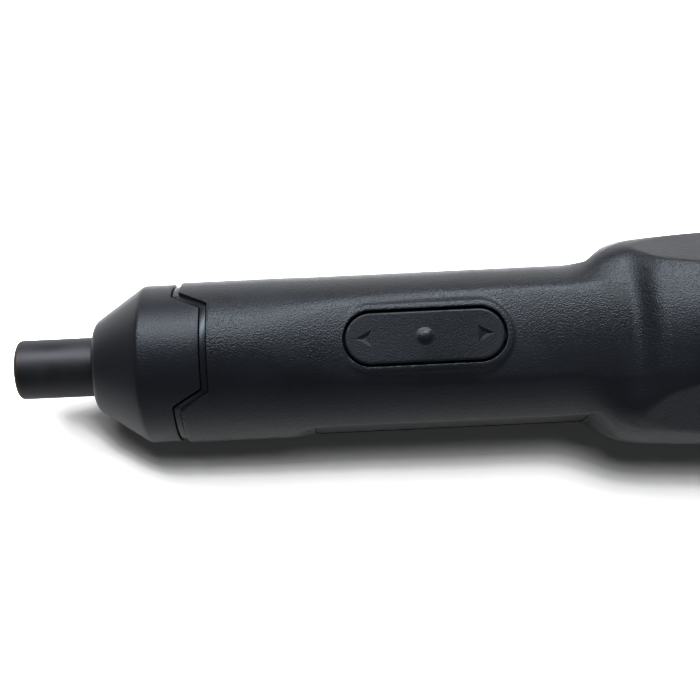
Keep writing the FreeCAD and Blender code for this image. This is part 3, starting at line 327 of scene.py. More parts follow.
def combine(piece, tools, operation):
    """Joins the tools to a piece or cuts them out of it; the tools are used up."""
    for tool in tools:
        step = piece.modifiers.new("step", "BOOLEAN")
        step.operation = operation
        step.solver = "EXACT"
        step.object = tool
    settle(piece)
    for tool in tools:
        bpy.data.meshes.remove(tool.data)
    tidy(piece)


def grid_faces(columns, rows, closed_columns=False, closed_rows=False):
    """Quads of a grid whose point (j, i) has the index j * rows + i."""
    faces = []
    for j in range(columns if closed_columns else columns - 1):
        for i in range(rows if closed_rows else rows - 1):
            k = (j + 1) % columns
            m = (i + 1) % rows
            faces.append((j * rows + i, j * rows + m, k * rows + m, k * rows + i))
    return faces


def close_wall(outer, inner, faces):
    """Points and faces of a wall with an outer and an inner skin, joined along every free edge."""
    count = len(outer)
    free = {}
    for face in faces:
        for a, b in zip(face, face[1:] + face[:1]):
            if (b, a) in free:
                del free[(b, a)]
            else:
                free[(a, b)] = True
    back = [tuple(count + v for v in reversed(face)) for face in faces]
    rim = [(b, a, count + a, count + b) for a, b in free]
    return np.vstack([outer, inner]), faces + back + rim


def curve_points(start, corner, end, steps):
    """Rounding from start to end that leaves along the lines to corner."""
    t = np.linspace(0.0, 1.0, steps + 1)[:, None]
    start, corner, end = (np.array(p, float) for p in (start, corner, end))
    return list((1 - t) ** 2 * start + 2 * t * (1 - t) * corner + t ** 2 * end)


def spread(stops, step):
    """Values through every stop, about one step apart."""
    values = [stops[0]]
    for a, b in zip(stops, stops[1:]):
        count = max(1, round(abs(b - a) / step))
        values += list(np.linspace(a, b, count + 1)[1:])
    return np.array(values)


def beyond(value):
    """A value as far as it lies above zero."""
    return np.clip(value, 0.0, None)


def smooth_min(a, b, soft):
    """The lesser of two values, with a soft change from one to the other."""
    h = np.clip(0.5 + 0.5 * (b - a) / soft, 0.0, 1.0)
    return b * (1 - h) + a * h - soft * h * (1 - h)


def prism(name, outline, axis, low, high):
    """Block with an outline in the plane across an axis, from low to high along it."""
    ends = []
    for level in (low, high):
        ends += [np.insert(np.array(p, float), axis, level) for p in outline]
    count = len(outline)
    faces = [(i, (i + 1) % count, count + (i + 1) % count, count + i) for i in range(count)]
    faces += [tuple(range(count)), tuple(range(count, 2 * count))]
    return mesh_piece(name, ends, faces)


def circle(centre, radius):
    """Corners of a round outline."""
    turns = np.linspace(0.0, 2 * math.pi, ROUND_STEPS, endpoint=False)
    return [(centre[0] + radius * math.cos(t), centre[1] + radius * math.sin(t)) for t in turns]


def round_points(x, r, turns):
    """Points at a place and a radius for every turn round the tool's axis."""
    return np.stack([x, r * np.sin(turns), r * np.cos(turns)], axis=1)


def lathe(name, stations, turns):
    """Closed piece round the tool's axis; each station gives x and radius at every turn."""
    rows = len(turns)
    points = []
    for x, r in stations:
        points.append(round_points(np.broadcast_to(x, rows), np.broadcast_to(r, rows), turns))
    faces = grid_faces(len(stations), rows, closed_columns=True, closed_rows=True)
    return mesh_piece(name, np.vstack(points), faces)


# Outer form

tongue_run = TONGUE_ROOT - TONGUE_TIP
tongue_slant = math.hypot(TONGUE_LENGTH, tongue_run)


def tongue_widening(offset):
    """How much wider the tongues are where the zigzag edge is moved back by offset."""
    return offset * (tongue_slant - tongue_run) / TONGUE_LENGTH


def zigzag(y, offset):
    """Where the zigzag edge lies at a distance from the middle plane, moved back by offset."""
    share = np.clip((TONGUE_ROOT + tongue_widening(offset) - np.abs(y)) / tongue_run, 0.0, 1.0)
    return x_rim + offset + TONGUE_LENGTH * share


def zigzag_turns(offset, radius):
    """Angles of the zigzag's corners."""
    return [math.asin((half + tongue_widening(offset)) / radius) for half in (TONGUE_TIP, TONGUE_ROOT)]


def meeting_point(a, a_r, b, b_r):
    """Point at two given distances from a and b, in front of the line from a to b."""
    apart = np.linalg.norm(b - a)
    on = (b - a) / apart
    along = (apart ** 2 + a_r ** 2 - b_r ** 2) / (2 * apart)
    return a + on * along + np.array([-on[1], on[0]]) * math.sqrt(a_r ** 2 - along ** 2)


flare = np.array([x_neck, body_r + FLARE_R])
belly = np.array([x_neck + BELLY_AT, body_r + belly_rise - BELLY_R])
shoulder = meeting_point(flare, FLARE_R + SHOULDER_R, belly, BELLY_R - SHOULDER_R)
x_corner = x_tail - TAIL_R
tail = np.array([x_corner, belly[1] + math.sqrt((BELLY_R - TAIL_R) ** 2 - (x_corner - belly[0]) ** 2)])
slope_x = flare[0] + (shoulder - flare)[0] * FLARE_R / (FLARE_R + SHOULDER_R)
crest_x = belly[0] + (shoulder - belly)[0] * BELLY_R / (BELLY_R - SHOULDER_R)
rear = belly + (tail - belly) * BELLY_R / (BELLY_R - TAIL_R)


def barrel_r(x):
    """Radius of the round body and swelling handle, as far as the rounding into the tail."""
    if x <= x_neck:
        return body_r
    if x <= slope_x:
        return flare[1] - math.sqrt(FLARE_R ** 2 - (x - flare[0]) ** 2)
    if x <= crest_x:
        return shoulder[1] + math.sqrt(SHOULDER_R ** 2 - (x - shoulder[0]) ** 2)
    return belly[1] + math.sqrt(BELLY_R ** 2 - (x - belly[0]) ** 2)


level_from = x_shell + RELIEF_START
level_to = level_from + RELIEF_LENGTH
flat_from = x_shell + FLAT_START
flat_to = flat_from + FLAT_LENGTH


def thumb_crest(x):
    """Height of the thumb face along its middle, and the radius of its crown."""
    lead = np.clip((level_from - x) / LEAD_LENGTH, 0.0, 1.0) ** 2
    level = RELIEF_HEIGHT + CROWN_RISE
    return level + (body_r - level) * lead, CROWN_R + (LEAD_CROWN_R - CROWN_R) * lead


def smooth_step(value):
    """Change from 0 to 1 that starts and ends level."""
    share = np.clip(value, 0.0, 1.0)
    return share ** 2 * (3 - 2 * share)


def thumb_height(x, y, skin):
    """Height of the thumb face with its ridges and rear ramp, where the round skin would lie at skin."""
    crest, crown_r = thumb_crest(x)
    y = np.abs(y)
    inside = smooth_min(y, np.full_like(y, RIDGE_Y), RIDGE_SOFT)
    ease = FALL_EASE * smooth_step((x - x_neck) / (level_to - x_neck))
    fall = (1 - ease) * math.tan(math.radians(RIDGE_FALL))
    face = crest - inside ** 2 / (2 * crown_r) - (y - inside) * fall
    behind = (x - x_neck) / SWELL_RUN
    side = smooth_step((y - SWELL_FROM) / (SWELL_TO - SWELL_FROM))
    climb = beyond(x - level_to)
    ramp = RAMP_RISE * smooth_step(climb / RAMP_RUN) + RAMP_FOLLOW * beyond(climb - RAMP_RUN)
    swell = (skin - face) * smooth_step(behind) + RAMP_RISE * beyond(behind - SWELL_LATE) ** 2
    return face + ramp * (1 - side) + np.where(skin > face, swell, 0.0) * side


def thumb_skin(x, y, round_r=body_r):
    """Height of the upper skin: the round, lower around the ramp, and the thumb face."""
    low = smooth_step((x - x_neck) / FLATTEN_IN) * (1 - smooth_step((x - level_to) / FLATTEN_OUT))
    low = low * (1 - smooth_step((np.abs(y) - FLATTEN_FROM) / FLATTEN_SIDE))
    skin = np.sqrt(round_r ** 2 - y ** 2) * (1 - FLATTEN * low)
    return smooth_min(skin, thumb_height(x, y, skin), edge_soft(x))


def edge_soft(x):
    """Softening of the thumb face's edge: wider where the ramp climbs the handle."""
    return RIDGE_SOFT + (RAMP_SOFT - RIDGE_SOFT) * np.clip((x - x_neck) / (level_to - x_neck), 0.0, 1.0)


def thumb_r(x, turn, round_r):
    """Distance of the skin with the thumb face from the axis, found by halving steps."""
    up = np.cos(turn)
    low = np.zeros_like(x)
    high = round_r.copy()
    for _ in range(HALVINGS):
        r = (low + high) / 2
        over = r * up > thumb_skin(x, r * np.sin(turn), round_r)
        low = np.where(over, low, r)
        high = np.where(over, r, high)
    return np.where(up > THUMB_FACING, r, round_r)


def cut_r(distance, facing, least):
    """Radius at which a flat at a distance from the axis cuts the rays that face it."""
    return np.where(facing > least, distance / np.clip(facing, least, None), FAR)


def skin_r(x, turn, round_r):
    """Distance of the body's skin from the axis; turn is measured from the button's side."""
    r = thumb_r(x, turn, round_r)
    lead = beyond(flat_from - x) * FLAT_DEPTH / FLAT_LEAD
    level = flat_y + lead + beyond(x - flat_to) * FLAT_RISE / FLAT_RUN
    r = smooth_min(r, cut_r(level, np.abs(np.sin(turn)), SIDE_FACING), FLAT_SOFT)
    for angle in FACET_ANGLES:
        facing = np.cos(turn - math.radians(angle))
        r = smooth_min(r, cut_r(FACET_APOTHEM, facing, FACET_FACING), FACET_SOFT)
    rest = nose_r + beyond(x - x_cone) * rest_slope
    rest_r = np.where(x > x_neck, cut_r(rest, -np.cos(turn), FACET_FACING), FAR)
    return smooth_min(r, rest_r, FACET_SOFT)


# Shells

def shell_stations():
    """Columns of the shells: share of the zigzag, place, radius, and the inner skin's shift and drop."""
    columns = []
    for x, drop in ((0.0, RIM_ROUND), (RIM_ROUND * MIDWAY, RIM_ROUND * MIDWAY), (RIM_ROUND, 0.0)):
        columns.append((1.0, x, body_r - drop, 0.0, SHELL_WALL - drop))
    for share in np.linspace(1.0, 0.0, EDGE_STEPS + 1)[1:-1]:
        columns.append((share, (1 - share) * X_BLEND, body_r, 0.0, SHELL_WALL))
    patch_from = x_button - PATCH_REACH
    patch_to = x_button + PATCH_REACH
    ramp_to = level_to + RAMP_RUN
    belly_from = crest_x + BELLY_FROM
    along = list(spread([X_BLEND, flat_from - FLAT_LEAD, flat_from, patch_from], BODY_STEP))
    for step, *stops in ((PATCH_STEP, patch_from, patch_to),
                         (NECK_STEP, patch_to, x_neck, flat_to, level_to),
                         (RAMP_STEP, level_to, ramp_to),
                         (HANDLE_STEP, ramp_to, belly_from),
                         (BELLY_STEP, belly_from, rear[0])):
        along += list(spread(stops, step)[1:])
    columns += [(0.0, x, barrel_r(x), 0.0, SHELL_WALL) for x in along]
    start = math.atan2(rear[0] - tail[0], rear[1] - tail[1])
    for angle in np.linspace(start, math.pi / 2, TAIL_STEPS + 1)[1:]:
        out = np.array([math.sin(angle), math.cos(angle)])
        x, r = tail + TAIL_R * out
        columns.append((0.0, x, r, SHELL_WALL * out[0], SHELL_WALL * out[1]))
    for share in np.linspace(1.0, 0.0, END_STEPS + 1)[1:]:
        columns.append((0.0, x_tail, tail[1] * share, SHELL_WALL, 0.0))
    return columns


def shell_rows(middle):
    """Turns across one shell, close together at the zigzag's corners and at the parting line."""
    tip, root = zigzag_turns(TRIM_WIDTH, body_r)
    edge = math.pi / 2 - PART_LINE / body_r
    half = [0.0, tip, PATCH_TURN, root, edge, math.pi / 2]
    right = spread(half, ROW_STEP)
    return middle + np.concatenate([-right[:0:-1], right])


def shell_grid(middle):
    """Outer and inner points of one shell as arrays of columns and rows."""
    columns = shell_stations()
    turns = shell_rows(middle)
    front = zigzag(body_r * np.sin(turns), TRIM_WIDTH)
    outer = np.zeros((len(columns), len(turns), 3))
    inner = np.zeros_like(outer)
    groove = np.zeros(len(turns))
    groove[[0, -1]] = PART_LINE
    for j, (share, x, round_r, shift, drop) in enumerate(columns):
        place = share * front + x
        r = skin_r(place, turns, np.full(len(turns), round_r))
        inner[j] = round_points(place - shift, r - drop, turns)
        outer[j] = round_points(place, r - groove if round_r > SHELL_WALL else r, turns)
    return outer, inner, turns


def pill_point(at, reach, half_length, half_width):
    """Point on a slot outline that lies nearest to at, moved out by reach."""
    core = half_length - half_width
    q = np.stack([np.clip(at[:, 0], -core, core), np.zeros(len(at))], axis=1)
    out = at - q
    out = out / np.linalg.norm(out, axis=1)[:, None]
    return q + out * (half_width + reach)


def button_rings(border):
    """Rings of skin from the grid's border in to the button's opening, raised to its lip."""
    half_length = button_half_length + BUTTON_GAP
    half_width = button_half_width + BUTTON_GAP
    middle = np.array([x_button, 0.0])
    at = border[:, :2] - middle
    last = LIP_LAND + LIP_BEVEL + RING_SPARE
    outer = []
    inner = []
    for share in np.linspace(0.0, 1.0, FACE_STEPS + 1)[1:-1]:
        ring = middle + at + (pill_point(at, last, half_length, half_width) - at) * share
        z = thumb_skin(ring[:, 0], ring[:, 1])
        outer.append(np.column_stack([ring, z]))
        inner.append(np.column_stack([ring, z - SHELL_WALL]))
    reaches = list(np.linspace(last, LIP_LAND, BEVEL_STEPS + 1)) + list(LAND_RINGS)
    for reach in reaches + [LIP_ROUND, MIDWAY * LIP_ROUND, 0.0]:
        ring = middle + pill_point(at, reach, half_length, half_width)
        base = thumb_skin(ring[:, 0], ring[:, 1])
        edge = LIP_ROUND - math.sqrt(max(0.0, LIP_ROUND ** 2 - max(0.0, LIP_ROUND - reach) ** 2))
        lip = lip_z - edge - LAND_FALL * reach - max(0.0, reach - LIP_LAND) * LIP_RISE / LIP_BEVEL
        z = -smooth_min(-base, np.full(len(ring), -lip), LIP_SOFT)
        outer.append(np.column_stack([ring, z]))
        inner.append(np.column_stack([ring, np.minimum(base, RELIEF_HEIGHT) - SHELL_WALL]))
    return outer, inner


def with_button_opening(outer, inner, turns, faces):
    """Takes the grid's faces round the button out and puts rings in their place."""
    columns, rows = outer.shape[:2]
    place = outer[:, rows // 2, 0]
    inside = [j for j in range(columns) if abs(place[j] - x_button) <= PATCH_REACH + TINY]
    across = [i for i in range(rows) if abs(turns[i]) <= PATCH_TURN + TINY]
    j0, j1, i0, i1 = inside[0], inside[-1], across[0], across[-1]
    kept = []
    for face in faces:
        j, i = divmod(min(face), rows)
        if not (j0 <= j < j1 and i0 <= i < i1):
            kept.append(face)
    border = [(j0, i) for i in range(i0, i1)] + [(j, i1) for j in range(j0, j1)]
    border += [(j1, i) for i in range(i1, i0, -1)] + [(j, i0) for j in range(j1, j0, -1)]
    index = [j * rows + i for j, i in border]
    flat_outer = outer.reshape(-1, 3)
    flat_inner = inner.reshape(-1, 3)
    rings, under = button_rings(flat_outer[index])
    count = len(index)
    start = len(flat_outer)
    for number in range(len(rings)):
        now = [start + number * count + k for k in range(count)]
        for k in range(count):
            m = (k + 1) % count
            kept.append((index[k], index[m], now[m], now[k]))
        index = now
    return np.vstack([flat_outer] + rings), np.vstack([flat_inner] + under), kept


def plate_pocket(side):
    """Cutter for the shallow pocket that holds a side plate."""
    x0 = plate_low[0] - PLATE_GAP
    x1 = plate_high[0] + PLATE_GAP
    top = plate_high[2] + PLATE_GAP
    c = PLATE_CHAMFER
    outline = [(x0 + c, -top), (x1 - c, -top), (x1, c - top), (x1, top - c), (x1 - c, top), (x0 + c, top),
               (x0, top - c), (x0, c - top)]
    low, high = sorted((side * (flat_y - PLATE_POCKET), side * (body_r + OVERCUT)))
    return prism("pocket", outline, 1, low, high)


def port_cut():
    """Cutter for the charging port's opening."""
    half_height = port_high[2] + PORT_EASE
    side = port_high[1] + PORT_EASE - half_height
    outline = []
    for turn in np.linspace(-math.pi / 2, math.pi / 2, PORT_STEPS + 1):
        outline.append((side + half_height * math.cos(turn), half_height * math.sin(turn)))
    outline += [(-y, -z) for y, z in outline]
    return prism("port", outline, 0, port_low[0], x_tail + OVERCUT)


def light_cut():
    """Cutter for the charge light's hole."""
    centre = ((light_low[1] + light_high[1]) / 2, 0.0)
    return prism("light_hole", circle(centre, light_high[2]), 0, light_low[0], x_tail + OVERCUT)


def screw_places():
    """Middle of each shell screw, read from the corners of the group."""
    points = np.array([v.co for v in nodes["shell_screws"].data.vertices]) / MM
    in_front = points[:, 0] < points[:, 0].mean()
    on_left = points[:, 1] > 0
    places = []
    for front in (True, False):
        for left in (True, False):
            low = points[(in_front == front) & (on_left == left)].min(axis=0)
            places.append(tuple(low[:2] + SCREW_HEAD_D / 2))
    return places


def screw_cuts():
    """Cutters for the holes that the shell screws' heads are sunk into."""
    radius = SCREW_HEAD_D / 2 + SCREW_EASE
    below = -shell_high[2] - OVERCUT
    top = screws_low[2] + SCREW_HEAD
    return [prism("screw_hole", circle(place, radius), 2, below, top) for place in screw_places()]


def shell_skin(name, middle, with_button, more_cuts):
    """One half of the body, with its openings."""
    outer, inner, turns = shell_grid(middle)
    faces = grid_faces(*outer.shape[:2])
    if with_button:
        outer, inner, faces = with_button_opening(outer, inner, turns, faces)
    skin = mesh_piece(name, *close_wall(outer.reshape(-1, 3), inner.reshape(-1, 3), faces))
    combine(skin, [plate_pocket(1), plate_pocket(-1), port_cut(), light_cut()] + more_cuts, "DIFFERENCE")
    return skin


# Nose, trim ring and bit holder

def round_turns(corners):
    """Turns all the way round with a row at each corner of the zigzag, front and back."""
    stops = [0.0] + list(corners) + [math.pi / 2]
    quarter = spread(stops, ROW_STEP)
    half = np.concatenate([quarter, (math.pi - quarter)[-2::-1]])
    return np.concatenate([half[:-1], math.pi + half[:-1]])


def nose_skin():
    """Hollow nose cap: cone, ring with the zigzag edge, and the spigot that goes into the body."""
    turns = round_turns(zigzag_turns(0.0, nose_r))
    rim = zigzag(nose_r * np.sin(turns), 0.0)
    slope = (nose_r - NOSE_FACE_R) / CONE_LENGTH
    bore_r = holder_r + HOLDER_PLAY
    spigot_bore = spigot_r - SPIGOT_WALL
    x_inner = x_face + NOSE_FACE_WALL
    inner_r = NOSE_FACE_R + NOSE_FACE_WALL * slope - NOSE_WALL
    x_bore = x_inner + (spigot_bore - inner_r) / slope
    face_end = (x_face + NOSE_EDGE, NOSE_FACE_R + NOSE_EDGE * slope)
    edge_start = (x_cone - CONE_EDGE, nose_r - CONE_EDGE * slope)
    edge_end = (x_cone + CONE_EDGE, nose_r)
    bore_start = (x_face + BORE_EDGE, bore_r)
    stations = curve_points(bore_start, (x_face, bore_r), (x_face, bore_r + BORE_EDGE), steps=3)
    stations += curve_points((x_face, NOSE_FACE_R - NOSE_EDGE), (x_face, NOSE_FACE_R), face_end, steps=8)
    for x in spread([face_end[0], edge_start[0]], CONE_STEP)[1:-1]:
        stations.append((x, NOSE_FACE_R + (x - x_face) * slope))
    stations += curve_points(edge_start, (x_cone, nose_r), edge_end, steps=6)
    for share in np.linspace(0.0, 1.0, RING_STEPS + 1)[1:]:
        stations.append((edge_end[0] + (rim - RIM_ROUND - edge_end[0]) * share, nose_r))
    stations += [(rim - MIDWAY * RIM_ROUND, nose_r - MIDWAY * RIM_ROUND), (rim, nose_r - RIM_ROUND)]
    stations += [(rim, spigot_r), (x_spigot, spigot_r), (x_spigot, spigot_bore), (x_bore, spigot_bore)]
    stations += [(x_inner, inner_r), (x_inner, bore_r)]
    return lathe("nose_skin", stations, turns)


def trim_band():
    """Smooth ring seen in the zigzag gap."""
    outer_r = nose_r - TRIM_DROP
    turns = round_turns(zigzag_turns(TRIM_WIDTH / 2, outer_r))
    y = outer_r * np.sin(turns)
    front = zigzag(y, TRIM_GAP)
    back = zigzag(y, TRIM_WIDTH - TRIM_GAP)
    c = RIM_ROUND / 2
    m = MIDWAY * c
    inner_r = spigot_r + TRIM_SEAT
    stations = [(front, inner_r), (front, outer_r - c), (front + m, outer_r - m), (front + c, outer_r),
                (back - c, outer_r), (back - m, outer_r - m), (back, outer_r - c), (back, inner_r)]
    return lathe("trim_band", stations, turns)


def hex_r(turns, flats):
    """Radius of a hexagon with a corner on the tool's side."""
    from_flat = (turns + math.pi / 6) % (math.pi / 3) - math.pi / 6
    return flats / 2 / np.cos(from_flat)


def holder_sleeve():
    """Bit holder with its hexagonal socket in front, and the spindle with clip groove and drive behind."""
    turns = np.radians(np.arange(0.0, 360.0, SLEEVE_TURN))
    socket = hex_r(turns, SOCKET_FLATS)
    drive = hex_r(turns, DRIVE_FLATS)
    corner_r = SOCKET_FLATS / math.sqrt(3)
    magnet_r = magnet_high[2] + MAGNET_FIT
    x_shoulder = case_low[0] - BUSH_FLANGE_ROOM
    x_drive = clip_high[0] + DRIVE_ROOM
    stations = [(magnet_high[0], 0.0), (magnet_high[0], magnet_r), (magnet_low[0], magnet_r),
                (magnet_low[0], socket)]
    for x in MOUTH_RINGS:
        stations.append((x, np.maximum(socket, corner_r + MOUTH_EASE - x)))
    stations += curve_points(*[(x, corner_r + wider) for x, wider in MOUTH_RIM], steps=2)
    edge_start = (0.0, holder_r - HOLDER_EDGE)
    stations += curve_points(edge_start, (0.0, holder_r), (HOLDER_RUN, holder_r), steps=10)
    stations += [(x, holder_r) for x in spread([HOLDER_RUN, x_shoulder], SLEEVE_STEP)[1:]]
    stations += [(x_shoulder, SPINDLE_R), (clip_low[0], SPINDLE_R), (clip_low[0], GROOVE_R),
                 (clip_high[0], GROOVE_R), (clip_high[0], SPINDLE_R), (x_drive, SPINDLE_R),
                 (x_drive, drive), (x_drive + DRIVE_LENGTH, drive), (x_drive + DRIVE_LENGTH, 0.0)]
    return lathe("holder_sleeve", stations, turns)


# Button

def pill_rows():
    """Points all round a slot outline, close enough for its round ends."""
    core = button_half_length - button_half_width
    straight = spread([-core, core], KEY_STEP)
    end = spread([-math.pi / 2, math.pi / 2], KEY_TURN)[1:-1]
    right = [(core + math.cos(t), math.sin(t)) for t in end]
    left = [(-core - math.cos(t), -math.sin(t)) for t in end]
    return np.array([(x, -1.0) for x in straight] + right + [(x, 1.0) for x in straight[::-1]] + left)


def button_top():
    """Slot-shaped key with rounded edges and a soft raised dot in its middle."""
    rows = pill_rows()
    foot_z = button_z - BUTTON_THICKNESS
    r = BUTTON_ROUND
    levels = [(-button_half_width, foot_z), (-BUTTON_CHAMFER, foot_z), (0.0, foot_z + BUTTON_CHAMFER)]
    for angle in np.linspace(0.0, math.pi / 2, KEY_EDGE_STEPS + 1):
        levels.append((-r + r * math.cos(angle), button_z - r + r * math.sin(angle)))
    for reach in np.linspace(r, button_half_width, KEY_TOP_STEPS + 1)[1:]:
        levels.append((-reach, button_z))
    points = []
    for reach, z in levels:
        ring = pill_point(rows, reach, button_half_length, button_half_width)
        away = np.hypot(ring[:, 0], ring[:, 1]) / DOT_R
        bump = (1 - np.clip(away, 0.0, 1.0) ** DOT_SHAPE) ** 2
        rise = bump * DOT_RISE if z > button_z - TINY else np.zeros(len(ring))
        points.append(np.column_stack([ring[:, 0] + x_button, ring[:, 1], z + rise]))
    faces = grid_faces(len(levels), len(rows), closed_rows=True)
    return mesh_piece("button_cap", np.vstack(points), faces)


def arrow_cut(side):
    """Cutter for one engraved arrow that points to an end, its walls sloping to a smaller floor."""
    base = -ARROW_LENGTH / 2
    corners = np.array([(base, -ARROW_WIDTH / 2), (base, ARROW_WIDTH / 2), (ARROW_LENGTH / 2, 0.0)])
    middle = corners.mean(axis=0)
    points = []
    for z, size in ((ARROW_DEPTH, 2 - ARROW_FLOOR), (-ARROW_DEPTH, ARROW_FLOOR)):
        for x, y in middle + (corners - middle) * size:
            points.append((x_button + side * (ARROW_OFFSET + x), y, button_z + z))
    faces = [(0, 1, 2), (5, 4, 3), (0, 3, 4, 1), (1, 4, 5, 2), (2, 5, 3, 0)]
    return mesh_piece("arrow", points, faces)


def button_cap():
    """Key with its arrows cut in, its ears round the hinge pin and its feet over the switches."""
    cap = button_top()
    top_z = button_z - BUTTON_THICKNESS + EAR_SINK
    hinge_z = (pin_low[2] + pin_high[2]) / 2
    x0 = x_button - EAR_WIDTH / 2
    x1 = x_button + EAR_WIDTH / 2
    added = []
    for side in (1, -1):
        y0, y1 = sorted((side * EAR_GAP, side * (EAR_GAP + EAR_THICKNESS)))
        ear = [(x0, y0), (x1, y0), (x1, y1), (x0, y1)]
        foot = circle((x_button + side * FOOT_OFFSET, 0.0), FOOT_R)
        added.append(prism("ear", ear, 2, hinge_z - EAR_BELOW, top_z))
        added.append(prism("foot", foot, 2, button_low[2] + FOOT_RISE, top_z))
    combine(cap, added, "UNION")
    pin_hole = prism("pin_hole", circle((x_button, hinge_z), PIN_HOLE_R), 1, -PIN_HOLE_HALF, PIN_HOLE_HALF)
    combine(cap, [arrow_cut(1), arrow_cut(-1), pin_hole], "DIFFERENCE")
    return cap


# Pieces made from a node's own solid, with its edges rounded over

def rounded_copy(node, name, width, segments=3, flat_angle=2.0, edge_angle=28.0):
    """Copy of a node's mesh: flat faces made whole, and edges rounded over by a width."""
    piece = link(name, nodes[node].data.copy())
    piece.data.materials.clear()
    tidy(piece)
    level = math.radians(flat_angle)
    limit = math.radians(edge_angle)
    with changes(piece) as work:
        bmesh.ops.dissolve_limit(work, angle_limit=level, verts=work.verts, edges=work.edges)
        edges = [e for e in work.edges if len(e.link_faces) == 2 and e.calc_face_angle() > limit]
        bmesh.ops.bevel(work, geom=edges, offset=width * MM, segments=segments, profile=0.5,
                        affect="EDGES", clamp_overlap=True)
        bmesh.ops.recalc_face_normals(work, faces=work.faces)
    return piece


# Node trees

def feed(tree, socket, value):
    """Links a socket to another one, or sets it to a value."""
    if isinstance(value, bpy.types.NodeSocket):
        tree.links.new(value, socket)
    else:
        socket.default_value = value


def add(tree, kind, **values):
    """New node with some of its sockets fed."""
    node = tree.nodes.new(kind)
    for key, value in values.items():
        feed(tree, node.inputs[key], value)
    return node


def calculate(tree, operation, a, b):
    """Result of an operation on two values."""
    node = tree.nodes.new("ShaderNodeMath")
    node.operation = operation
    for socket, value in zip(node.inputs, (a, b)):
        feed(tree, socket, value)
    return node.outputs[0]


# Screws, one tree placed on four points

SCREW_INPUTS = ("Head Radius", "Head Height", "Shank Radius", "Length", "Slot Width", "Slot Length",
                "Slot Depth")


def screw_tree(material):
    """Cross-slot screws on given points: head on the point, shank upwards."""
    tree = bpy.data.node_groups.new("cross_screws", "GeometryNodeTree")
    tree.interface.new_socket("Places", in_out="INPUT", socket_type="NodeSocketGeometry")
    for name in SCREW_INPUTS:
        tree.interface.new_socket(name, in_out="INPUT", socket_type="NodeSocketFloat")
    tree.interface.new_socket("Screws", in_out="OUTPUT", socket_type="NodeSocketGeometry")
    given = tree.nodes.new("NodeGroupInput").outputs
    result = tree.nodes.new("NodeGroupOutput")

    def rod(radius, bottom, top):
        """Upright cylinder between two levels."""
        depth = calculate(tree, "SUBTRACT", top, bottom)
        cylinder = add(tree, "GeometryNodeMeshCylinder", Vertices=ROUND_STEPS, Radius=radius, Depth=depth)
        middle = calculate(tree, "MULTIPLY", calculate(tree, "ADD", bottom, top), 0.5)
        at = add(tree, "ShaderNodeCombineXYZ", Z=middle).outputs[0]
        moved = add(tree, "GeometryNodeTransform", Geometry=cylinder.outputs["Mesh"], Translation=at)
        return moved.outputs[0]

    head_middle = calculate(tree, "MULTIPLY", given["Head Height"], 0.5)
    union = tree.nodes.new("GeometryNodeMeshBoolean")
    union.operation = "UNION"
    tree.links.new(rod(given["Head Radius"], 0.0, given["Head Height"]), union.inputs["Mesh 2"])
    tree.links.new(rod(given["Shank Radius"], head_middle, given["Length"]), union.inputs["Mesh 2"])
    slotted = tree.nodes.new("GeometryNodeMeshBoolean")
    slotted.operation = "DIFFERENCE"
    tree.links.new(union.outputs[0], slotted.inputs["Mesh 1"])
    deep = calculate(tree, "MULTIPLY", given["Slot Depth"], 2.0)
    for x, y in (("Slot Length", "Slot Width"), ("Slot Width", "Slot Length")):
        size = add(tree, "ShaderNodeCombineXYZ", X=given[x], Y=given[y], Z=deep).outputs[0]
        bar = add(tree, "GeometryNodeMeshCube", Size=size).outputs["Mesh"]
        tree.links.new(bar, slotted.inputs["Mesh 2"])
    placed = add(tree, "GeometryNodeInstanceOnPoints", Points=given["Places"], Instance=slotted.outputs[0])
    real = add(tree, "GeometryNodeRealizeInstances", Geometry=placed.outputs[0])
    coated = add(tree, "GeometryNodeSetMaterial", Geometry=real.outputs[0], Material=material)
    tree.links.new(coated.outputs[0], result.inputs[0])
    return tree


def screw_set(material):
    """The four shell screws, standing on their heads' outer faces."""
    places = [(x, y, screws_low[2]) for x, y in screw_places()]
    piece = plain_piece("screw_set", places, [])
    step = piece.modifiers.new("screws", "NODES")
    step.node_group = screw_tree(material)
    sizes = {"Head Radius": SCREW_HEAD_D / 2, "Head Height": SCREW_HEAD, "Shank Radius": SCREW_D / 2,
             "Length": screws_high[2] - screws_low[2], "Slot Width": SCREW_SLOT,
             "Slot Length": SLOT_LENGTH, "Slot Depth": SLOT_DEPTH}
    for socket in step.node_group.interface.items_tree:
        if socket.name in sizes:
            step[socket.identifier] = sizes[socket.name] * MM
    settle(piece)
    tidy(piece)
    return piece


# Shader groups: shared surface effects, in object coordinates

def shader_group(name, inputs, outputs):
    """New group with its place as first input and values as its other inputs and outputs."""
    tree = bpy.data.node_groups.new(name, "ShaderNodeTree")
    tree.interface.new_socket("Vector", in_out="INPUT", socket_type="NodeSocketVector")
    for label in inputs:
        tree.interface.new_socket(label, in_out="INPUT", socket_type="NodeSocketFloat")
    for label in outputs:
        tree.interface.new_socket(label, in_out="OUTPUT", socket_type="NodeSocketFloat")
    given = tree.nodes.new("NodeGroupInput").outputs
    result = tree.nodes.new("NodeGroupOutput").inputs
    return tree, given, result


def mapped(tree, value, given, wanted):
    """A value moved from a given range to a wanted one."""
    limits = {"From Min": given[0], "From Max": given[1], "To Min": wanted[0], "To Max": wanted[1]}
    return add(tree, "ShaderNodeMapRange", Value=value, **limits).outputs["Result"]


UNIT = (0.0, 1.0)
NOISE_RANGE = (0.3, 0.7)  # most of a noise lies between these


def slow_tone(tree, vector, scale, detail):
    """Slow, uneven change of tone over a surface."""
    noise = add(tree, "ShaderNodeTexNoise", Vector=vector, Scale=scale, Detail=detail)
    return mapped(tree, noise.outputs["Fac"], NOISE_RANGE, UNIT)


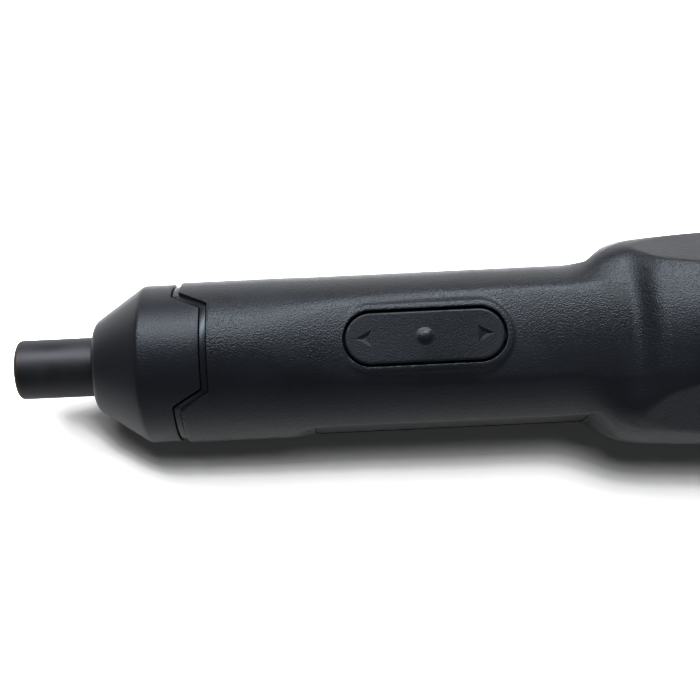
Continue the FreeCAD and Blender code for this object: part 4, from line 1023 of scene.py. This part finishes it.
FINE_SHARE = 0.65  # fine grain against round pits
SPECK_SIZES = (0.02, 0.045)  # against the distance between specks


def moulded_grain():
    """Spark-eroded texture: fine grain with round pits, and slow changes of tone."""
    tree, given, result = shader_group("moulded_grain", ("Scale",), ("Height", "Tone"))
    place = {"Vector": given["Vector"], "Scale": given["Scale"]}
    fine = add(tree, "ShaderNodeTexNoise", Detail=1.0, Roughness=0.5, **place).outputs["Fac"]
    pits = add(tree, "ShaderNodeTexVoronoi", **place).outputs["Distance"]
    fine_part = calculate(tree, "MULTIPLY", fine, FINE_SHARE)
    pits_part = calculate(tree, "MULTIPLY", pits, 1 - FINE_SHARE)
    tree.links.new(calculate(tree, "ADD", fine_part, pits_part), result["Height"])
    tree.links.new(slow_tone(tree, given["Vector"], scale=70.0, detail=4.0), result["Tone"])
    return tree


def dust_specks():
    """A few small pale specks, far apart and of uneven size."""
    tree, given, result = shader_group("dust_specks", ("Scale", "Amount"), ("Mask",))
    cells = add(tree, "ShaderNodeTexVoronoi", Vector=given["Vector"], Scale=given["Scale"])
    pick = add(tree, "ShaderNodeSeparateColor", Color=cells.outputs["Color"])
    chosen = calculate(tree, "LESS_THAN", pick.outputs[0], given["Amount"])
    reach = mapped(tree, pick.outputs[1], UNIT, SPECK_SIZES)
    inside = calculate(tree, "LESS_THAN", cells.outputs["Distance"], reach)
    tree.links.new(calculate(tree, "MULTIPLY", chosen, inside), result["Mask"])
    return tree


def turned_marks():
    """Fine rings left by turning, across the tool's axis."""
    tree, given, result = shader_group("turned_marks", ("Scale",), ("Height", "Tone"))
    along = add(tree, "ShaderNodeSeparateXYZ", Vector=given["Vector"]).outputs["X"]
    rings = tree.nodes.new("ShaderNodeTexNoise")
    rings.noise_dimensions = "1D"
    tree.links.new(along, rings.inputs["W"])
    tree.links.new(given["Scale"], rings.inputs["Scale"])
    rings.inputs["Detail"].default_value = 3.0
    tree.links.new(rings.outputs["Fac"], result["Height"])
    tree.links.new(slow_tone(tree, given["Vector"], scale=180.0, detail=5.0), result["Tone"])
    return tree


GROUPS = {"grain": moulded_grain(), "specks": dust_specks(), "marks": turned_marks()}


# Materials

class Surface:
    """A material being put together: its tree, its shader and its object coordinates."""

    def __init__(self, name):
        self.material = bpy.data.materials.new(name)
        self.material.use_nodes = True
        self.tree = self.material.node_tree
        self.shader = self.tree.nodes["Principled BSDF"]
        self.at = self.tree.nodes.new("ShaderNodeTexCoord").outputs["Object"]

    def effect(self, group, **values):
        """Outputs of a shared effect, with its own values."""
        node = self.tree.nodes.new("ShaderNodeGroup")
        node.node_tree = GROUPS[group]
        self.tree.links.new(self.at, node.inputs["Vector"])
        for key, value in values.items():
            node.inputs[key].default_value = value
        return node.outputs

    def mix(self, share, low, high):
        """A colour between two others; each is a socket or red, green and blue."""
        node = self.tree.nodes.new("ShaderNodeMix")
        node.data_type = "RGBA"
        self.tree.links.new(share, node.inputs["Factor"])
        colours = [socket for socket in node.inputs if socket.type == "RGBA"]
        for socket, value in zip(colours, (low, high)):
            feed(self.tree, socket, value if isinstance(value, bpy.types.NodeSocket) else (*value, 1.0))
        return next(socket for socket in node.outputs if socket.type == "RGBA")

    def toned(self, tone, colour, low=0.8, high=1.2):
        """A colour made darker and lighter by a tone."""
        return self.mix(tone, [c * low for c in colour], [c * high for c in colour])

    def range(self, share, low, high):
        """A value between two others."""
        return mapped(self.tree, share, UNIT, (low, high))

    def bump(self, height, depth):
        """Relief of a depth in millimetres."""
        node = add(self.tree, "ShaderNodeBump", Height=height, Distance=depth * MM, Strength=1.0)
        self.set("Normal", node.outputs["Normal"])

    def set(self, key, value):
        """Feeds a socket of the shader."""
        feed(self.tree, self.shader.inputs[key], value)

    def sheen(self, level, tint):
        """Strength and colour of the surface's reflection."""
        self.set("Specular IOR Level", level)
        self.set("Specular Tint", tint)


WHITE = (1.0, 1.0, 1.0, 1.0)
COOL = (0.79, 0.89, 1.0, 1.0)  # the black plastic's sheen is slightly blue
SHEEN = 0.5
PLASTIC_SHEEN = 0.24
TRIM_SHEEN = 0.26
FILM_SHEEN = 0.12
BLACK_PLASTIC = (0.0042, 0.0048, 0.0064)
PALE_DUST = (0.5, 0.5, 0.5)
GREY_DUST = (0.3, 0.3, 0.3)
CONE_GRAIN = 0.35  # grain of the nose's cone against that of its ring
GRAIN_CHANGE = (-0.2, 0.3)  # it changes between these places at the cone's end
WORN_FROM = 1.1  # sleeve's worn mouth, along the axis
WORN_TO = 0.2


def moulded(name, colour, rough, grain, depth, specks=0.0):
    """Moulded or pressed surface with a fine texture, and dust on it."""
    s = Surface(name)
    texture = s.effect("grain", Scale=grain)
    plain = s.toned(texture["Tone"], colour)
    dust = s.effect("specks", Scale=260.0, Amount=specks)
    s.set("Base Color", s.mix(dust["Mask"], plain, PALE_DUST))
    s.set("Roughness", s.range(texture["Tone"], rough - 0.04, rough + 0.04))
    s.sheen(PLASTIC_SHEEN, COOL)
    s.bump(texture["Height"], depth)
    return s


def nose_plastic():
    """Plastic of the nose: its cone is smoother than the ring behind it."""
    s = Surface("nose_plastic")
    texture = s.effect("grain", Scale=3900.0)
    s.set("Base Color", s.mix(texture["Tone"], (0.0036, 0.0042, 0.0056), (0.0052, 0.0058, 0.0076)))
    along = add(s.tree, "ShaderNodeSeparateXYZ", Vector=s.at).outputs["X"]
    ring = mapped(s.tree, along, [(x_cone + place) * MM for place in GRAIN_CHANGE], UNIT)
    s.set("Roughness", s.range(ring, 0.34, 0.36))
    height = calculate(s.tree, "MULTIPLY", texture["Height"], s.range(ring, CONE_GRAIN, 1.0))
    s.sheen(PLASTIC_SHEEN, COOL)
    s.bump(height, depth=0.08)
    return s


def gloss(name, colour, rough, sheen=SHEEN, tint=WHITE):
    """Smooth surface with a little dust."""
    s = Surface(name)
    texture = s.effect("grain", Scale=500.0)
    dust = s.effect("specks", Scale=330.0, Amount=0.02)
    plain = s.toned(texture["Tone"], colour)
    s.set("Base Color", s.mix(dust["Mask"], plain, GREY_DUST))
    s.set("Roughness", s.range(texture["Tone"], rough, rough + 0.05))
    s.sheen(sheen, tint)
    s.bump(texture["Height"], depth=0.004)
    return s


def turned_metal(name, colour, rough, marks, depth):
    """Metal with fine marks across the tool's axis."""
    s = Surface(name)
    rings = s.effect("marks", Scale=marks)
    s.set("Metallic", 1.0)
    s.set("Base Color", s.toned(rings["Tone"], colour, low=0.86, high=1.12))
    s.set("Roughness", s.range(rings["Tone"], rough - 0.05, rough + 0.05))
    s.bump(rings["Height"], depth)
    return s


def blackened_steel():
    """Chemically blackened sleeve, worn to a brownish tone round its mouth."""
    s = Surface("blackened_steel")
    rings = s.effect("marks", Scale=9000.0)
    along = add(s.tree, "ShaderNodeSeparateXYZ", Vector=s.at).outputs["X"]
    worn = mapped(s.tree, along, (WORN_FROM * MM, WORN_TO * MM), UNIT)
    black = s.mix(rings["Tone"], (0.021, 0.022, 0.026), (0.031, 0.032, 0.037))
    s.set("Base Color", s.mix(worn, black, (0.060, 0.045, 0.037)))
    s.set("Metallic", 0.85)
    s.set("Roughness", s.range(rings["Tone"], 0.44, 0.54))
    s.bump(rings["Height"], depth=0.006)
    return s


def lens():
    """Milky plastic of the charge light."""
    s = gloss("light_lens", (0.75, 0.78, 0.78), rough=0.12)
    s.set("Transmission Weight", 0.4)
    return s


# Colour, roughness, fineness of the texture, its depth and amount of dust
MOULDED = {
    "shell_plastic": (BLACK_PLASTIC, 0.33, 3700.0, 0.105, 0.006),
    "button_plastic": (BLACK_PLASTIC, 0.35, 3900.0, 0.06),
    "ferrite": ((0.06, 0.06, 0.065), 0.7, 2500.0, 0.04),
    "carbon": ((0.03, 0.03, 0.03), 0.75, 4000.0, 0.03),
    "nylon": ((0.50, 0.49, 0.45), 0.45, 2500.0, 0.03),
    "board_green": ((0.005, 0.018, 0.010), 0.4, 1500.0, 0.02),
    "foam": ((0.05, 0.05, 0.055), 0.9, 1800.0, 0.2),
    "switch_black": ((0.03, 0.03, 0.03), 0.4, 4000.0, 0.02),
    "lead_insulation": ((0.35, 0.03, 0.025), 0.45, 3000.0, 0.02),
}

# Colour, roughness, fineness of the turning marks and their depth
METALS = {
    "screw_steel": ((0.12, 0.12, 0.125), 0.38, 6000.0, 0.01),
    "bright_steel": ((0.56, 0.57, 0.58), 0.25, 8000.0, 0.005),
    "gear_steel": ((0.34, 0.34, 0.35), 0.35, 5000.0, 0.01),
    "nickel": ((0.62, 0.60, 0.56), 0.22, 7000.0, 0.004),
    "bronze": ((0.50, 0.33, 0.15), 0.4, 4000.0, 0.01),
    "terminal_brass": ((0.62, 0.47, 0.20), 0.3, 6000.0, 0.005),
    "copper": ((0.60, 0.27, 0.14), 0.3, 2500.0, 0.05),
    "core_steel": ((0.20, 0.20, 0.21), 0.4, 2000.0, 0.04),
}

materials = {
    "nose_plastic": nose_plastic(),
    "gloss_black": gloss("trim_gloss", (0.004, 0.0045, 0.006), rough=0.27, sheen=TRIM_SHEEN, tint=COOL),
    "blackened_steel": blackened_steel(),
    "cell_sleeve": gloss("cell_sleeve", (0.08, 0.20, 0.42), rough=0.2),
    "light_lens": lens(),
}
materials.update({name: moulded(name, *look) for name, look in MOULDED.items()})
materials.update({name: turned_metal(name, *look) for name, look in METALS.items()})
film = gloss("plate_film", (0.004, 0.004, 0.005), rough=0.34, sheen=FILM_SHEEN)  # on the side plates


# Putting the pieces on

record = frame["record"]
slot_of = {sub["node"]: sub["material_slot"] for sub in record["subparts"]}
body_of = {node: body for body, members in record["behaviour"]["bodies"].items() for node in members}

for node, obj in nodes.items():
    obj.data.materials.clear()
    obj.data.materials.append(materials[slot_of[node]].material)


def put(piece, node, surface=None, sharp_angle=SHARP_ANGLE):
    """Gives a piece its finish and its place on the body of the node that it stands for."""
    smooth(piece, sharp_angle)
    piece.data.materials.clear()
    piece.data.materials.append((surface or materials[slot_of[node]]).material)
    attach(piece, body_of[node])
    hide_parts(node)


put(shell_skin("upper_shell_skin", 0.0, True, []), "upper_shell")
put(shell_skin("lower_shell_skin", math.pi, False, screw_cuts()), "lower_shell")
put(nose_skin(), "nose_cap")
put(trim_band(), "trim_ring")
put(holder_sleeve(), "bit_holder")
put(button_cap(), "rocker_button")
for node, name, width, surface in (("side_plate_left", "plate_left", PLATE_ROUND, film),
                                   ("side_plate_right", "plate_right", PLATE_ROUND, film),
                                   ("usb_shell", "port_sleeve", PORT_ROUND, None),
                                   ("usb_tongue", "port_tongue", PORT_ROUND, None),
                                   ("charge_light", "light_pipe", LIGHT_ROUND, None)):
    put(rounded_copy(node, name, width), node, surface, FACETED)
put(screw_set(materials["screw_steel"].material), "shell_screws")


# Floor, light and camera

FLOOR_HALF = 1500.0
LIGHT_TARGET = Vector((70.0, 0.0, 0.0))
ROOM_COLOUR = (0.9, 0.95, 1.0, 1.0)
ROOM_STRENGTH = 0.03
CAMERA_TILT = math.radians(11.5)
CAMERA_ROLL = math.radians(2.7)
CAMERA_DISTANCE = 225.0
CAMERA_AIM = Vector((61.85, 0.86, 0.18))
CAMERA_LENS = 61.7
CAMERA_SENSOR = 36.0
CAMERA_NEAR = 5.0
PAPER_TONES = ((0.18, 0.18), (0.30, 0.45), (0.38, 0.77), (0.485, 1.0))


def floor_sheet():
    """Paper that slopes along the tool, which lies on its nose and on the flat under the handle."""
    s = Surface("floor_paper")
    texture = s.effect("grain", Scale=900.0)
    s.set("Base Color", s.mix(texture["Tone"], (0.53, 0.53, 0.53), (0.55, 0.55, 0.55)))
    s.set("Roughness", s.range(texture["Tone"], 0.75, 0.8))
    points = []
    for x, y in ((-1, -1), (1, -1), (1, 1), (-1, 1)):
        drop = rest_slope * (x * FLOOR_HALF - x_cone)
        points.append((x * FLOOR_HALF, y * FLOOR_HALF, -nose_r - drop))
    sheet = plain_piece("floor_sheet", points, [(0, 1, 2, 3)])
    sheet.data.materials.append(s.material)
    return sheet


def area_light(name, at, size, power, roll=0.0):
    """Rectangular light turned to the tool."""
    lamp = bpy.data.lights.new(name, "AREA")
    lamp.shape = "RECTANGLE"
    lamp.size = size[0] * MM
    lamp.size_y = size[1] * MM
    lamp.energy = power
    obj = link(name, lamp)
    away = (Vector(at) - LIGHT_TARGET).normalized()
    obj.location = Vector(at) * MM
    obj.rotation_euler = (away.to_track_quat("Z", "Y") @ Quaternion((0.0, 0.0, 1.0), roll)).to_euler()
    return obj


def studio_light():
    """Window behind the tool, lamp above it that lights the paper, and a weak card in front."""
    area_light("window", at=(70.0, 430.0, 420.0), size=(800.0, 260.0), power=9.8, roll=math.radians(16.0))
    lamp = area_light("ceiling_lamp", at=(110.0, 138.0, 610.0), size=(300.0, 210.0), power=4.2)
    lamp.visible_glossy = False
    card = area_light("front_card", at=(90.0, -480.0, 100.0), size=(800.0, 260.0), power=0.4)
    card.visible_camera = False
    world = bpy.data.worlds.new("room")
    bpy.context.scene.world = world
    world.use_nodes = True
    background = world.node_tree.nodes["Background"].inputs
    background["Color"].default_value = ROOM_COLOUR
    background["Strength"].default_value = ROOM_STRENGTH


def photo_camera():
    """Camera at the photo's angle."""
    data = bpy.data.cameras.new("photo_camera")
    data.lens = CAMERA_LENS
    data.sensor_width = CAMERA_SENSOR
    data.clip_start = CAMERA_NEAR * MM
    data.dof.use_dof = False
    camera = link("photo_camera", data)
    turn = Matrix.Rotation(CAMERA_TILT, 4, "X") @ Matrix.Rotation(-CAMERA_ROLL, 4, "Z")
    back = turn.col[2].to_3d()
    camera.matrix_world = Matrix.Translation((CAMERA_AIM + CAMERA_DISTANCE * back) * MM) @ turn
    bpy.context.scene.camera = camera


def white_paper():
    """Exposure as in the photo: dark tones as they are, and paper grey lifted to white."""
    view = bpy.context.scene.view_settings
    view.view_transform = "Standard"
    view.use_curve_mapping = True
    tones = view.curve_mapping.curves[3]
    for at, value in PAPER_TONES:
        tones.points.new(at, value)
    for point in tones.points:
        point.handle_type = "VECTOR"
    view.curve_mapping.update()


floor_sheet()
studio_light()
photo_camera()
white_paper()
bpy.context.view_layer.update()
